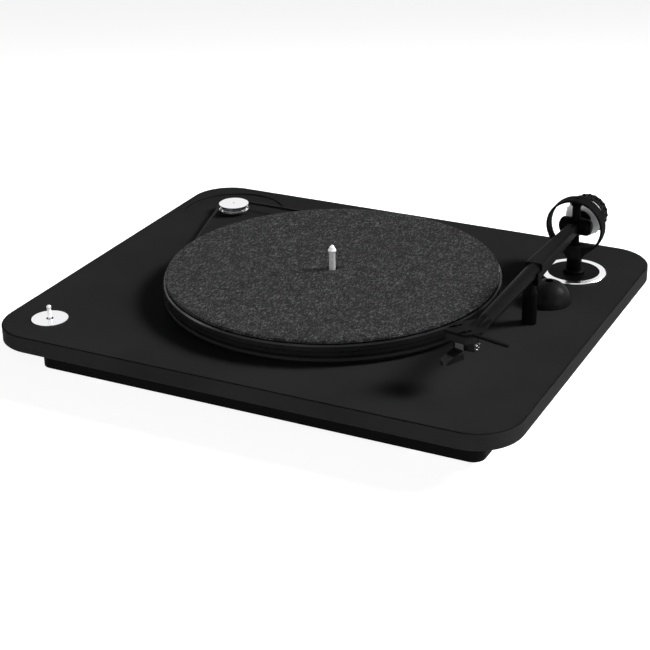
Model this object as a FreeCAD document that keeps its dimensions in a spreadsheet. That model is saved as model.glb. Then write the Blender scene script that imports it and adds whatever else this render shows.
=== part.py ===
"""Belt-drive record player: a black deck, a felt-covered platter and a straight arm in a hoop.

Millimetres.  X runs to the right along the front of the deck, Y runs to the back and Z up.
The origin is on the floor under the middle of the deck.
"""
import FreeCAD, Part
import math
import os
import Sketcher
from FreeCAD import Placement, Rotation, Vector

doc = FreeCAD.newDocument("record_player")
sheet = doc.addObject("Spreadsheet::Sheet", "sizes")

# Driving dimensions: name, millimetres (or degrees), what it measures.
DRIVING = (
    ("plinth_width", 450, "deck, left to right"),
    ("plinth_depth", 372, "deck, front to back"),
    ("plinth_thickness", 14, "deck board"),
    ("plinth_corner", 37, "deck corner radius"),
    ("plinth_edge", 1, "eased upper and lower rim of the deck"),
    ("tray_inset", 30, "base slab, in from the edge of the deck"),
    ("tray_height", 26.5, "base slab"),
    ("tray_corner", 10, "base slab corner radius"),
    ("tray_wall", 6, "base slab wall"),
    ("tray_floor", 3, "base slab floor"),
    ("boss_radius", 5, "screw bosses in the base slab"),
    ("screw_radius", 2, "case screws"),
    ("screw_head", 3.8, "case screw heads"),
    ("head_height", 2.2, "case screw heads"),
    ("foot_radius", 15, "rubber feet"),
    ("foot_height", 6, "rubber feet"),
    ("foot_inset", 45, "foot centres, in from the edge of the base slab"),
    ("platter_margin", 29.8, "from the platter's rim to the line of the arm"),
    ("platter_back", -3, "platter centre, behind the middle of the deck"),
    ("platter_gap", 2.5, "under the platter"),
    ("platter_height", 15.3, "platter"),
    ("platter_bevel", 1.6, "bright bevel round the platter"),
    ("groove_low", 1.4, "belt groove, above the platter's underside"),
    ("groove_height", 3.1, "belt groove"),
    ("groove_depth", 1.3, "belt groove in the platter"),
    ("mat_gap", 0.3, "felt mat, air under the loose cloth"),
    ("mat_thickness", 2.7, "felt mat"),
    ("mat_margin", 1.5, "mat edge, in from the rim of the platter"),
    ("mat_hole", 3.9, "mat hole radius"),
    ("spindle_radius", 2.7, "record spindle"),
    ("spindle_head", 3.55, "largest radius of the record spindle"),
    ("spindle_rise", 24.4, "record spindle, above the platter"),
    ("shaft_radius", 5, "bearing shaft under the platter"),
    ("bush_wall", 2, "bronze bearing bush"),
    ("housing_radius", 12, "bearing housing"),
    ("ball_radius", 2.5, "thrust ball"),
    ("running_gap", 0.05, "running fits, on the radius"),
    ("pulley_inset_side", 56.5, "pulley centre, in from the left edge"),
    ("pulley_inset_back", 59.6, "pulley centre, in from the back edge"),
    ("pulley_radius", 13.9, "pulley flanges"),
    ("pulley_groove", 12.2, "pulley groove radius"),
    ("well_radius", 47, "round well about the pulley"),
    ("well_depth", 0.8, "round well about the pulley"),
    ("belt_height", 2.5, "drive belt"),
    ("belt_thickness", 1, "drive belt"),
    ("belt_gap", 0.3, "between the belt and its grooves"),
    ("motor_radius", 14, "motor can"),
    ("motor_height", 18, "motor can"),
    ("motor_plate", 3.5, "motor mounting plate thickness"),
    ("motor_shaft_radius", 1, "motor shaft"),
    ("switch_inset_side", 38.3, "switch, in from the left edge"),
    ("switch_inset_front", 39, "switch, in from the front edge"),
    ("switch_disc_radius", 15, "silver disc round the switch"),
    ("switch_disc_height", 0.8, "silver disc round the switch"),
    ("switch_case", 9, "cubic case of the switch, under the deck"),
    ("lever_height", 12.5, "switch lever, above the deck"),
    ("lever_depth", 5, "lever ball, below the deck"),
    ("arm_inset", 54, "line of the arm, in from the right edge"),
    ("arm_back", 116, "arm pivot, behind the middle of the deck"),
    ("pivot_height", 43.3, "arm pivot, above the deck"),
    ("ring_outer", 27.5, "silver ring round the arm base"),
    ("ring_inner", 22, "silver ring round the arm base"),
    ("pillar_radius", 6.4, "arm pillar"),
    ("hoop_drop", 27.3, "top of the arm pillar, below the arm pivot"),
    ("hoop_outer", 24.6, "hoop, outer radius"),
    ("hoop_inner", 22.8, "hoop, inner radius"),
    ("hoop_saddle", 17, "top of the hoop's solid foot, below the arm pivot"),
    ("hoop_foot_width", 6.4, "hoop, front to back where it meets the pillar"),
    ("hoop_crown_width", 12.6, "hoop, front to back at its top"),
    ("axle_radius", 3.5, "upright pivot axle"),
    ("barrel_radius", 7.2, "cross barrel on the pivot axle"),
    ("barrel_length", 18, "cross barrel without its end caps"),
    ("barrel_cap", 3, "barrel end caps, as far as their domes"),
    ("sleeve_rear_width", 9.5, "arm sleeve at the pivot"),
    ("sleeve_front_width", 14.6, "arm sleeve at its front end"),
    ("sleeve_length", 94.4, "arm sleeve"),
    ("tube_rear_radius", 6.05, "arm tube at the sleeve"),
    ("tube_front_radius", 5.45, "arm tube at the headshell"),
    ("tube_length", 104.6, "arm tube, ahead of the sleeve"),
    ("spigot_radius", 4, "pegs that join the arm's lengths"),
    ("shell_thickness", 2.5, "headshell plate"),
    ("head_rise", 1.7, "top of the headshell plate, above the arm pivot"),
    ("stub_radius", 5, "counterweight stub"),
    ("stub_flange", 8.6, "stop ring on the counterweight stub"),
    ("weight_radius", 17.2, "counterweight"),
    ("weight_length", 7, "counterweight"),
    ("weight_cap_length", 5, "rear cap of the counterweight"),
    ("dial_radius", 16.2, "dial ring"),
    ("dial_length", 2.5, "dial ring"),
    ("weight_back", 21, "front of the dial ring, behind the pivot"),
    ("rest_forward", 109.7, "arm rest, ahead of the pivot"),
    ("rest_radius", 6, "arm rest post"),
    ("rest_neck", 3.5, "arm rest neck"),
    ("rest_gap", 0.35, "between the arm tube and its rest"),
    ("rest_clip", 1.5, "cradle's upright lip, thickness"),
    ("adapter_forward", 64, "large-hole adapter, ahead of the pivot"),
    ("adapter_radius", 19.2, "large-hole adapter"),
    ("adapter_height", 18.9, "large-hole adapter"),
    ("nut_thickness", 4, "hexagon nuts under the deck"),
    ("lead_radius", 1.2, "internal leads"),
    ("socket_radius", 4.15, "signal sockets"),
    ("swing_clear", 0.4, "air round the axle in the barrel's slots"),
)
for row, (alias, amount, meaning) in enumerate(DRIVING, start=1):
    sheet.set("A%d" % row, meaning)
    sheet.set("B%d" % row, str(amount))
    sheet.setAlias("B%d" % row, alias)
doc.recompute()
ALIASES = [alias for alias, amount, meaning in DRIVING]

# Levels and centres that follow from the driving dimensions.
DERIVED = {
    "deck_under": "(foot_height + tray_height)",
    "deck_top": "(foot_height + tray_height + plinth_thickness)",
    "tray_top_floor": "(foot_height + tray_floor)",
    "tray_half_x": "(plinth_width / 2 - tray_inset)",
    "tray_half_y": "(plinth_depth / 2 - tray_inset)",
    "arm_x": "(plinth_width / 2 - arm_inset)",
    "pivot_z": "(foot_height + tray_height + plinth_thickness + pivot_height)",
    "pillar_height": "(pivot_height - hoop_drop)",
    "head_top": "(foot_height + tray_height + plinth_thickness + pivot_height + head_rise)",
    "platter_radius": "(plinth_width / 2 - arm_inset - platter_margin)",
    "platter_low": "(foot_height + tray_height + plinth_thickness + platter_gap)",
    "pulley_x": "(pulley_inset_side - plinth_width / 2)",
    "pulley_y": "(plinth_depth / 2 - pulley_inset_back)",
    "switch_x": "(switch_inset_side - plinth_width / 2)",
    "switch_y": "(switch_inset_front - plinth_depth / 2)",
}


def rule(text):
    """Expression text with each derived name spelled out and each alias read from the sheet."""
    words = []
    word = ""
    for mark in str(text) + " ":
        if mark.isalnum() or mark == "_":
            word += mark
            continue
        if word in DERIVED:
            words.append(rule(DERIVED[word]))
        elif word in ALIASES:
            words.append("sizes." + word)
        else:
            words.append(word)
        words.append(mark)
        word = ""
    return "".join(words).strip()


def size(alias):
    """Plain number held by one cell of the sheet."""
    return float(sheet.get(alias))


def bind(item, **rules):
    """Bind each named property of an object to its rule."""
    for name, text in rules.items():
        item.setExpression(name.replace("__", "."), rule(text))


def place(item, x, y, z, turn=None):
    """Put an object at a bound position, turned by a fixed rotation."""
    if turn is not None:
        item.Placement = Placement(Vector(0, 0, 0), turn)
    bind(item, Placement__Base__x=x, Placement__Base__y=y, Placement__Base__z=z)
    return item


UPRIGHT = Rotation(0, 0, 0)
FORWARD = Rotation(Vector(1, 0, 0), 90)
BACKWARD = Rotation(Vector(1, 0, 0), -90)
SIDEWAYS = Rotation(Vector(0, 1, 0), 90)
DOWNWARD = Rotation(Vector(1, 0, 0), 180)
AHEAD = Rotation(Vector(0, 0, 1), 180)


def cylinder(name, radius, height, x, y, z, turn=UPRIGHT):
    item = doc.addObject("Part::Cylinder", name)
    bind(item, Radius=radius, Height=height)
    return place(item, x, y, z, turn)


def cone(name, start, end, height, x, y, z, turn=UPRIGHT):
    item = doc.addObject("Part::Cone", name)
    bind(item, Radius1=start, Radius2=end, Height=height)
    return place(item, x, y, z, turn)


def sphere(name, radius, x, y, z):
    item = doc.addObject("Part::Sphere", name)
    bind(item, Radius=radius)
    return place(item, x, y, z)


def box(name, length, width, height, x, y, z):
    """Block centred on x and y that stands on z."""
    item = doc.addObject("Part::Box", name)
    bind(item, Length=length, Width=width, Height=height)
    return place(item, "%s - (%s) / 2" % (x, length), "%s - (%s) / 2" % (y, width), z)


def wedge(name, start, end, length, x, y, z, turn):
    """Block whose section changes along Y; each section is (least x, greatest x, least z, greatest z)."""
    item = doc.addObject("Part::Wedge", name)
    bind(item, Xmin=start[0], Xmax=start[1], Zmin=start[2], Zmax=start[3], Ymin="0", Ymax=length,
         X2min=end[0], X2max=end[1], Z2min=end[2], Z2max=end[3])
    return place(item, x, y, z, turn)


def hexagon(name, circle, height, x, y, z):
    item = doc.addObject("Part::Prism", name)
    item.Polygon = 6
    bind(item, Circumradius=circle, Height=height)
    return place(item, x, y, z)


def fuse(name, *pieces):
    item = doc.addObject("Part::MultiFuse", name)
    item.Shapes = list(pieces)
    return item


def cut(name, base, *tools):
    item = doc.addObject("Part::Cut", name)
    item.Base = base
    item.Tool = tools[0] if len(tools) == 1 else fuse(name + "_tools", *tools)
    return item


def common(name, first, second):
    item = doc.addObject("Part::Common", name)
    item.Base = first
    item.Tool = second
    return item


def group(name, pieces):
    """Several like solids kept apart under one name."""
    item = doc.addObject("Part::Compound", name)
    item.Links = list(pieces)
    return item


def plane(body, role):
    return next(item for item in body.Origin.OriginFeatures if item.Role == role)


def outline(body, name, role, points):
    """Closed polygon sketch on a plane of the body, every corner bound."""
    sketch = body.newObject("Sketcher::SketchObject", name)
    sketch.AttachmentSupport = [(plane(body, role), "")]
    sketch.MapMode = "FlatFace"
    count = len(points)
    turn = 2 * math.pi / count
    corners = [Vector(60 + 9 * math.cos(i * turn), 60 + 9 * math.sin(i * turn), 0) for i in range(count)]
    for index in range(count):
        sketch.addGeometry(Part.LineSegment(corners[index], corners[(index + 1) % count]), False)
    for index in range(count):
        sketch.addConstraint(Sketcher.Constraint("Coincident", index, 2, (index + 1) % count, 1))
    for index, corner in enumerate(points):
        for kind, axis, text in (("DistanceX", -2, corner[0]), ("DistanceY", -1, corner[1])):
            if text == "0":
                sketch.addConstraint(Sketcher.Constraint("PointOnObject", index, 1, axis))
            else:
                bound = sketch.addConstraint(Sketcher.Constraint(kind, -1, 1, index, 1, 1.0))
                sketch.setExpression("Constraints[%d]" % bound, rule(text))
    return sketch


def turned(name, points, x, y, z, turn=UPRIGHT):
    """Lathe-turned piece: (radius, height) corners revolved round its own upright axis."""
    body = doc.addObject("PartDesign::Body", name)
    sketch = outline(body, name + "_profile", "XZ_Plane", points)
    spin = body.newObject("PartDesign::Revolution", name + "_turning")
    spin.Profile = sketch
    spin.ReferenceAxis = (sketch, ["V_Axis"])
    spin.Angle = 360
    return place(body, x, y, z, turn)


def padded(name, points, height, x, y, z):
    """Flat piece: corners counted from (x, y), padded upwards from z."""
    body = doc.addObject("PartDesign::Body", name)
    sketch = outline(body, name + "_outline", "XY_Plane", points)
    pad = body.newObject("PartDesign::Pad", name + "_pad")
    pad.Profile = sketch
    bind(pad, Length=height)
    return place(body, x, y, z)


def plate(name, length, width, height, z, corner, edge=None):
    """Slab centred on the origin with rounded corners and, where named, eased rims."""
    body = padded(name, (("0", "0"), (length, "0"), (length, width), ("0", width)), height,
                  "-(%s) / 2" % length, "-(%s) / 2" % width, z)
    doc.recompute()
    slab = body.Tip
    upright = [i for i, side in enumerate(slab.Shape.Edges, start=1)
               if abs(side.tangentAt(side.FirstParameter).z) > 0.99]
    rounding = body.newObject("PartDesign::Fillet", name + "_corners")
    rounding.Base = (slab, ["Edge%d" % i for i in upright])
    bind(rounding, Radius=corner)
    body.Tip = rounding
    doc.recompute()
    if edge is not None:
        rims = [i for i, side in enumerate(rounding.Shape.Edges, start=1)
                if side.BoundBox.ZLength < 0.001]
        easing = body.newObject("PartDesign::Chamfer", name + "_rims")
        easing.Base = (rounding, ["Edge%d" % i for i in rims])
        bind(easing, Size=edge)
        body.Tip = easing
        doc.recompute()
    return body


def solid_from(name, shape, x, y, z):
    """Piece built from curves that no ready feature makes, placed after its shape is set."""
    item = doc.addObject("Part::Feature", name)
    item.Shape = shape
    return place(item, x, y, z)


NODES = []


def keep(item, name):
    """Name a finished sub-part."""
    item.Label = name
    NODES.append(item)
    return item


CORNER_SIGNS = ((-1, -1), (1, -1), (1, 1), (-1, 1))

# ---------------------------------------------------------------- base slab, feet and deck
BOSS_PLACES = [("%d * (tray_half_x - 9)" % sx, "%d * 60" % sy) for sx, sy in CORNER_SIGNS]
BOSS_PLACES += [("%d * (tray_half_x - 55)" % sx, "%d * (tray_half_y - 9)" % sy) for sx, sy in CORNER_SIGNS]
FOOT_PLACES = [("%d * (tray_half_x - foot_inset)" % sx, "%d * (tray_half_y - foot_inset)" % sy)
               for sx, sy in CORNER_SIGNS]
BOARD_X = "-(tray_half_x - 85)"
BOARD_Y = "-(tray_half_y - 61)"
BOARD_POSTS = [("%s + %d * 26" % (BOARD_X, sx), "%s + %d * 16" % (BOARD_Y, sy)) for sx, sy in CORNER_SIGNS]
PANEL_X = "(tray_half_x - 135)"


def base_tray():
    """Hollow moulded slab with bosses for the case screws, the feet and the circuit board."""
    outer = plate("tray_outer", "2 * tray_half_x", "2 * tray_half_y", "tray_height", "foot_height",
                  "tray_corner")
    inner = plate("tray_inner", "2 * (tray_half_x - tray_wall)", "2 * (tray_half_y - tray_wall)",
                  "tray_height", "tray_top_floor", "tray_corner - tray_wall")
    window = box("tray_window", "110", "4 * tray_wall", "16", PANEL_X, "tray_half_y", "tray_top_floor + 4")
    shell = cut("tray_shell", outer, inner, window)
    bosses = [cylinder("case_boss%d" % i, "boss_radius", "tray_height - 1", x, y, "foot_height + 1")
              for i, (x, y) in enumerate(BOSS_PLACES)]
    posts = [cylinder("foot_post%d" % i, "boss_radius", "tray_floor + 6", x, y, "foot_height + 1")
             for i, (x, y) in enumerate(FOOT_PLACES)]
    stands = [cylinder("board_post%d" % i, "3", "tray_floor + 4", x, y, "foot_height + 1")
              for i, (x, y) in enumerate(BOARD_POSTS)]
    solid = fuse("tray_with_bosses", shell, *(bosses + posts + stands))
    bores = [box("switch_notch", "switch_case + 0.6", "switch_case + 0.6", "switch_case + 2", "switch_x",
                 "switch_y", "deck_under - switch_case - 0.3")]
    for i, (x, y) in enumerate(BOSS_PLACES):
        bores.append(cylinder("case_bore%d" % i, "screw_radius", "tray_height + 2", x, y, "foot_height - 1"))
        bores.append(cylinder("case_sink%d" % i, "screw_head", "head_height + 1", x, y, "foot_height - 1"))
    for i, (x, y) in enumerate(FOOT_PLACES):
        bores.append(cylinder("foot_bore%d" % i, "screw_radius", "tray_floor + 3", x, y, "foot_height - 1"))
    for i, (x, y) in enumerate(BOARD_POSTS):
        bores.append(cylinder("board_bore%d" % i, "1.2", "5", x, y, "tray_top_floor + 1"))
    keep(cut("base_tray", solid, *bores), "base_tray")


def screw(name, shank, head, length, cap, x, y, z, turn=UPRIGHT):
    """Pan-head screw that stands on the face of its head at z, its shank upwards."""
    corners = (("0", "0"), ("%s - 0.6" % head, "0"), (head, "0.6"), (head, cap), (shank, cap),
               (shank, "%s - 1" % length), ("%s / 2" % shank, length), ("0", length))
    return turned(name, corners, x, y, z, turn)


def case_screws():
    """Eight screws up through the slab's bosses into the deck."""
    screws = [screw("case_screw%d" % i, "screw_radius", "screw_head", "tray_height + 7", "head_height",
                    x, y, "foot_height") for i, (x, y) in enumerate(BOSS_PLACES)]
    keep(group("base_screws", screws), "base_screws")


def feet():
    """Four soft rubber feet, each with a sunk screw."""
    rubber = []
    screws = []
    for i, (x, y) in enumerate(FOOT_PLACES):
        corners = (("screw_radius", "2.8"), ("screw_head + 0.4", "2.8"), ("screw_head + 0.4", "0"),
                   ("foot_radius - 1.2", "0"), ("foot_radius", "1.2"), ("foot_radius", "foot_height"),
                   ("screw_radius", "foot_height"))
        rubber.append(turned("foot%d" % i, corners, x, y, "0"))
        screws.append(screw("foot_screw%d" % i, "screw_radius", "screw_head", "foot_height + 3.5",
                            "head_height", x, y, "2.8 - head_height"))
    keep(group("feet", rubber), "feet")
    keep(group("foot_screws", screws), "foot_screws")


def plinth():
    """Deck board with a shallow well about the pulley and holes for all that passes through it."""
    slab = plate("plinth_slab", "plinth_width", "plinth_depth", "plinth_thickness", "deck_under",
                 "plinth_corner", "plinth_edge")
    well = cylinder("pulley_well", "well_radius", "well_depth + 5", "pulley_x", "pulley_y",
                    "deck_top - well_depth")
    through = (
        ("motor_hole", "6", "pulley_x", "pulley_y"),
        ("bearing_hole", "housing_radius + 0.1", "0", "platter_back"),
        ("switch_hole", "5.6", "switch_x", "switch_y"),
        ("arm_hole", "5.1", "arm_x", "arm_back"),
        ("rest_hole", "2.6", "arm_x", "arm_back - rest_forward"),
    )
    tools = [well]
    for name, radius, x, y in through:
        tools.append(cylinder(name, radius, "plinth_thickness + 2", x, y, "deck_under - 1"))
    for i, (x, y) in enumerate(BOSS_PLACES):
        tools.append(cylinder("pilot%d" % i, "screw_radius", "8", x, y, "deck_under - 1"))
    for i in range(3):
        turn = math.radians(60 + 120 * i)
        tools.append(cylinder("motor_pilot%d" % i, "0.9", "6",
                              "pulley_x + (motor_radius + 2.8) * %.6f" % math.cos(turn),
                              "pulley_y + (motor_radius + 2.8) * %.6f" % math.sin(turn), "deck_under - 1"))
    keep(cut("plinth_board", slab, *tools), "plinth_board")


base_tray()
case_screws()
feet()
plinth()


# ---------------------------------------------------------------- bearing, platter and mat
def bearing():
    """Flanged housing through the deck, with a bronze bush, a thrust ball and a nut below."""
    low = "tray_top_floor + 5"
    reach = "(deck_top - tray_top_floor - 5)"
    bore = "shaft_radius + bush_wall"
    corners = (("0", "0"), ("housing_radius", "0"), ("housing_radius", reach),
               ("housing_radius + 10", reach), ("housing_radius + 10", "%s + 2" % reach),
               (bore, "%s + 2" % reach), (bore, "3"), ("0", "3"))
    keep(turned("bearing_housing", corners, "0", "platter_back", low), "bearing_housing")
    sleeve = (("shaft_radius + running_gap", "0"), (bore, "0"), (bore, "%s - 1" % reach),
              ("shaft_radius + running_gap", "%s - 1" % reach))
    keep(turned("bearing_bush", sleeve, "0", "platter_back", low + " + 3"), "bearing_bush")
    keep(sphere("thrust_ball", "ball_radius", "0", "platter_back", low + " + 3 + ball_radius"),
         "thrust_ball")
    nut = hexagon("bearing_nut_blank", "housing_radius + 7", "nut_thickness", "0", "platter_back",
                  "deck_under - nut_thickness")
    hole = cylinder("bearing_nut_bore", "housing_radius", "nut_thickness + 2", "0", "platter_back",
                    "deck_under - nut_thickness - 1")
    keep(cut("bearing_nut", nut, hole), "bearing_nut")


def spindle():
    """Record spindle turned in one piece with the bearing shaft that carries the platter."""
    low = "tray_top_floor + 8 + 2 * ball_radius + running_gap"
    shoulder = "(platter_low + platter_height - 3.8 - (%s))" % low
    deck = "(%s + 3.8)" % shoulder
    corners = (("0", "0"), ("shaft_radius - 1", "0"), ("shaft_radius", "1"), ("shaft_radius", shoulder),
               ("spindle_radius", shoulder), ("spindle_radius", "%s + spindle_rise - 6" % deck),
               ("spindle_head", "%s + spindle_rise - 5.5" % deck),
               ("spindle_head", "%s + spindle_rise - 4.5" % deck),
               ("spindle_head - 0.9", "%s + spindle_rise - 3" % deck),
               ("spindle_head - 2", "%s + spindle_rise - 1" % deck),
               ("spindle_head - 3", "%s + spindle_rise" % deck), ("0", "%s + spindle_rise" % deck))
    keep(turned("spindle", corners, "0", "platter_back", low), "spindle")


def platter():
    """Solid platter with the belt's groove low on its rim."""
    rim = "platter_radius"
    groove = "platter_radius - groove_depth"
    corners = (("shaft_radius", "0"), ("%s - 0.6" % rim, "0"),
               (rim, "0.6"), (rim, "groove_low"), (groove, "groove_low"),
               (groove, "groove_low + groove_height"), (rim, "groove_low + groove_height"),
               (rim, "platter_height - platter_bevel"),
               ("%s - platter_bevel / 2" % rim, "platter_height"), ("spindle_radius", "platter_height"),
               ("spindle_radius", "platter_height - 3.8"), ("shaft_radius", "platter_height - 3.8"))
    keep(turned("platter", corners, "0", "platter_back", "platter_low"), "platter")
    felt = (("mat_hole", "0"), ("platter_radius - mat_margin", "0"),
            ("platter_radius - mat_margin", "mat_thickness - 0.5"),
            ("platter_radius - mat_margin - 0.5", "mat_thickness"), ("mat_hole", "mat_thickness"))
    keep(turned("felt_mat", felt, "0", "platter_back", "platter_low + platter_height + mat_gap"),
         "felt_mat")


bearing()
spindle()
platter()

# ---------------------------------------------------------------- motor, pulley and belt
GROOVE_Z = "platter_low + groove_low"


def motor():
    """Small direct-current motor hung under the deck on a plate with three screws."""
    can = cylinder("motor_can_blank", "motor_radius", "motor_height", "pulley_x", "pulley_y",
                   "deck_under - motor_plate - motor_height")
    bore = cylinder("motor_can_bore", "motor_shaft_radius + 0.03", "motor_height", "pulley_x", "pulley_y",
                    "deck_under - motor_plate - motor_height / 2")
    keep(cut("motor_can", can, bore), "motor_can")
    disc = cylinder("motor_mount_blank", "motor_radius + 5.4", "motor_plate", "pulley_x", "pulley_y",
                    "deck_under - motor_plate")
    hole = cylinder("motor_mount_hole", "4", "motor_plate + 2", "pulley_x", "pulley_y",
                    "deck_under - motor_plate - 1")
    tools = [hole]
    screws = []
    for i in range(3):
        turn = math.radians(60 + 120 * i)
        x = "pulley_x + (motor_radius + 2.8) * %.6f" % math.cos(turn)
        y = "pulley_y + (motor_radius + 2.8) * %.6f" % math.sin(turn)
        tools.append(cylinder("motor_mount_bore%d" % i, "0.9", "motor_plate + 2", x, y,
                              "deck_under - motor_plate - 1"))
        screws.append(screw("motor_screw%d" % i, "0.9", "2", "motor_plate + 6", "1.4", x, y,
                            "deck_under - motor_plate - 1.4"))
    keep(cut("motor_mount", disc, *tools), "motor_mount")
    keep(group("motor_screws", screws), "motor_screws")
    keep(cylinder("motor_shaft", "motor_shaft_radius",
                  "platter_gap + plinth_thickness + motor_plate + motor_height / 2 + 4.5",
                  "pulley_x", "pulley_y", "deck_under - motor_plate - motor_height / 2 + 0.5"),
         "motor_shaft")


def pulley():
    """Bright pulley with a flange above and below the belt."""
    low = "2.2"
    top = "groove_height + 3.7"
    corners = (("motor_shaft_radius", "0"), ("pulley_radius - 0.4", "0"), ("pulley_radius", "0.4"),
               ("pulley_radius", "1.4"), ("pulley_groove", low),
               ("pulley_groove", "groove_height + %s" % low),
               ("pulley_radius", "groove_height + 3"), ("pulley_radius", "%s - 0.4" % top),
               ("pulley_radius - 0.6", top), ("motor_shaft_radius", top))
    keep(turned("drive_pulley", corners, "pulley_x", "pulley_y", GROOVE_Z + " - 2.2"), "drive_pulley")


def belt_loop(big, small, span, slope):
    """Closed wire round two circles on the X axis, their centres span apart, with straight runs."""
    lift = math.acos((big - small) / span)
    wide = Vector(big * math.cos(lift), big * math.sin(lift), 0)
    narrow = Vector(span + small * math.cos(lift), small * math.sin(lift), 0)
    mirror = [Vector(point.x, -point.y, 0) for point in (wide, narrow)]
    edges = [
        Part.Arc(wide, Vector(-big, 0, 0), mirror[0]).toShape(),
        Part.LineSegment(mirror[0], mirror[1]).toShape(),
        Part.Arc(mirror[1], Vector(span + small, 0, 0), narrow).toShape(),
        Part.LineSegment(narrow, wide).toShape(),
    ]
    wire = Part.Wire(edges)
    wire.rotate(Vector(0, 0, 0), Vector(0, 0, 1), slope)
    return wire


def drive_belt():
    """Flat rubber belt round the pulley and the rim of the platter."""
    dx = size("pulley_inset_side") - size("plinth_width") / 2
    dy = size("plinth_depth") / 2 - size("pulley_inset_back") - size("platter_back")
    rim = size("plinth_width") / 2 - size("arm_inset") - size("platter_margin")
    big = rim - size("groove_depth") + size("belt_gap")
    small = size("pulley_groove") + size("belt_gap")
    thick = size("belt_thickness")
    span = math.hypot(dx, dy)
    slope = math.degrees(math.atan2(dy, dx))
    outer = Part.Face(belt_loop(big + thick, small + thick, span, slope))
    inner = Part.Face(belt_loop(big, small, span, slope))
    band = outer.cut(inner).extrude(Vector(0, 0, size("belt_height")))
    keep(solid_from("drive_belt", band, "0", "platter_back", GROOVE_Z + " + belt_gap"), "drive_belt")


motor()
pulley()
drive_belt()


# ---------------------------------------------------------------- switch and electronics
def switch():
    """Bright disc, bat lever and the switch body that hangs under the deck."""
    disc = cylinder("switch_disc_blank", "switch_disc_radius", "switch_disc_height", "switch_x",
                    "switch_y", "deck_top")
    hole = cylinder("switch_disc_hole", "3", "switch_disc_height + 2", "switch_x", "switch_y",
                    "deck_top - 1")
    keep(cut("switch_disc", disc, hole), "switch_disc")
    ball = "2.4"
    pivot = "deck_top - lever_depth"
    case = box("switch_block", "switch_case", "switch_case", "switch_case", "switch_x", "switch_y",
               "deck_under - switch_case")
    bush = cylinder("switch_bush", "5.5", "plinth_thickness", "switch_x", "switch_y", "deck_under")
    throat = cone("switch_throat", ball + " + running_gap", "3.6", "lever_depth", "switch_x",
                  "switch_y", pivot)
    seat = cylinder("switch_seat", ball + " + running_gap", "4", "switch_x", "switch_y", pivot + " - 4")
    cavity = cylinder("switch_cavity", "3.4", "plinth_thickness - lever_depth", "switch_x", "switch_y",
                      "deck_under - 4")
    keep(cut("switch_body", fuse("switch_solid", case, bush), throat, seat, cavity), "switch_body")
    stem = cone("lever_stem", "1.4", "1.9", "lever_height + lever_depth - 1.4", "switch_x", "switch_y",
                pivot)
    knob = sphere("lever_ball", ball, "switch_x", "switch_y", pivot)
    tip = sphere("lever_tip", "1.9", "switch_x", "switch_y", "deck_top + lever_height - 1.9")
    tail = cylinder("lever_tail", "1", "6.5", "switch_x", "switch_y", pivot + " - 6.5")
    keep(fuse("toggle_lever", stem, knob, tip, tail), "toggle_lever")


def electronics():
    """Speed circuit board on four posts of the base slab, with its fitted parts."""
    level = "tray_top_floor + 4 + 1"
    blank = box("control_board_blank", "60", "40", "1.6", BOARD_X, BOARD_Y, level)
    bores = [cylinder("control_board_bore%d" % i, "1.2", "4", x, y, level + " - 1")
             for i, (x, y) in enumerate(BOARD_POSTS)]
    keep(cut("control_board", blank, *bores), "control_board")
    screws = [screw("board_screw%d" % i, "1.2", "2.4", "6.4", "1.4", x, y, level + " + 3", DOWNWARD)
              for i, (x, y) in enumerate(BOARD_POSTS)]
    keep(group("board_screws", screws), "board_screws")
    upper = level + " + 1.6"
    fitted = [box("board_chip", "12", "8", "2", BOARD_X, BOARD_Y + " + 2", upper)]
    for i in range(2):
        fitted.append(cylinder("board_capacitor%d" % i, "3.2", "9", BOARD_X + " + %d" % (13 + 9 * i),
                               BOARD_Y + " - 8", upper))
    for i in range(3):
        fitted.append(box("board_connector%d" % i, "8", "6", "7", BOARD_X + " + %d" % (12 * i - 14),
                          BOARD_Y + " + 14", upper))
    keep(group("board_parts", fitted), "board_parts")


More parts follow.
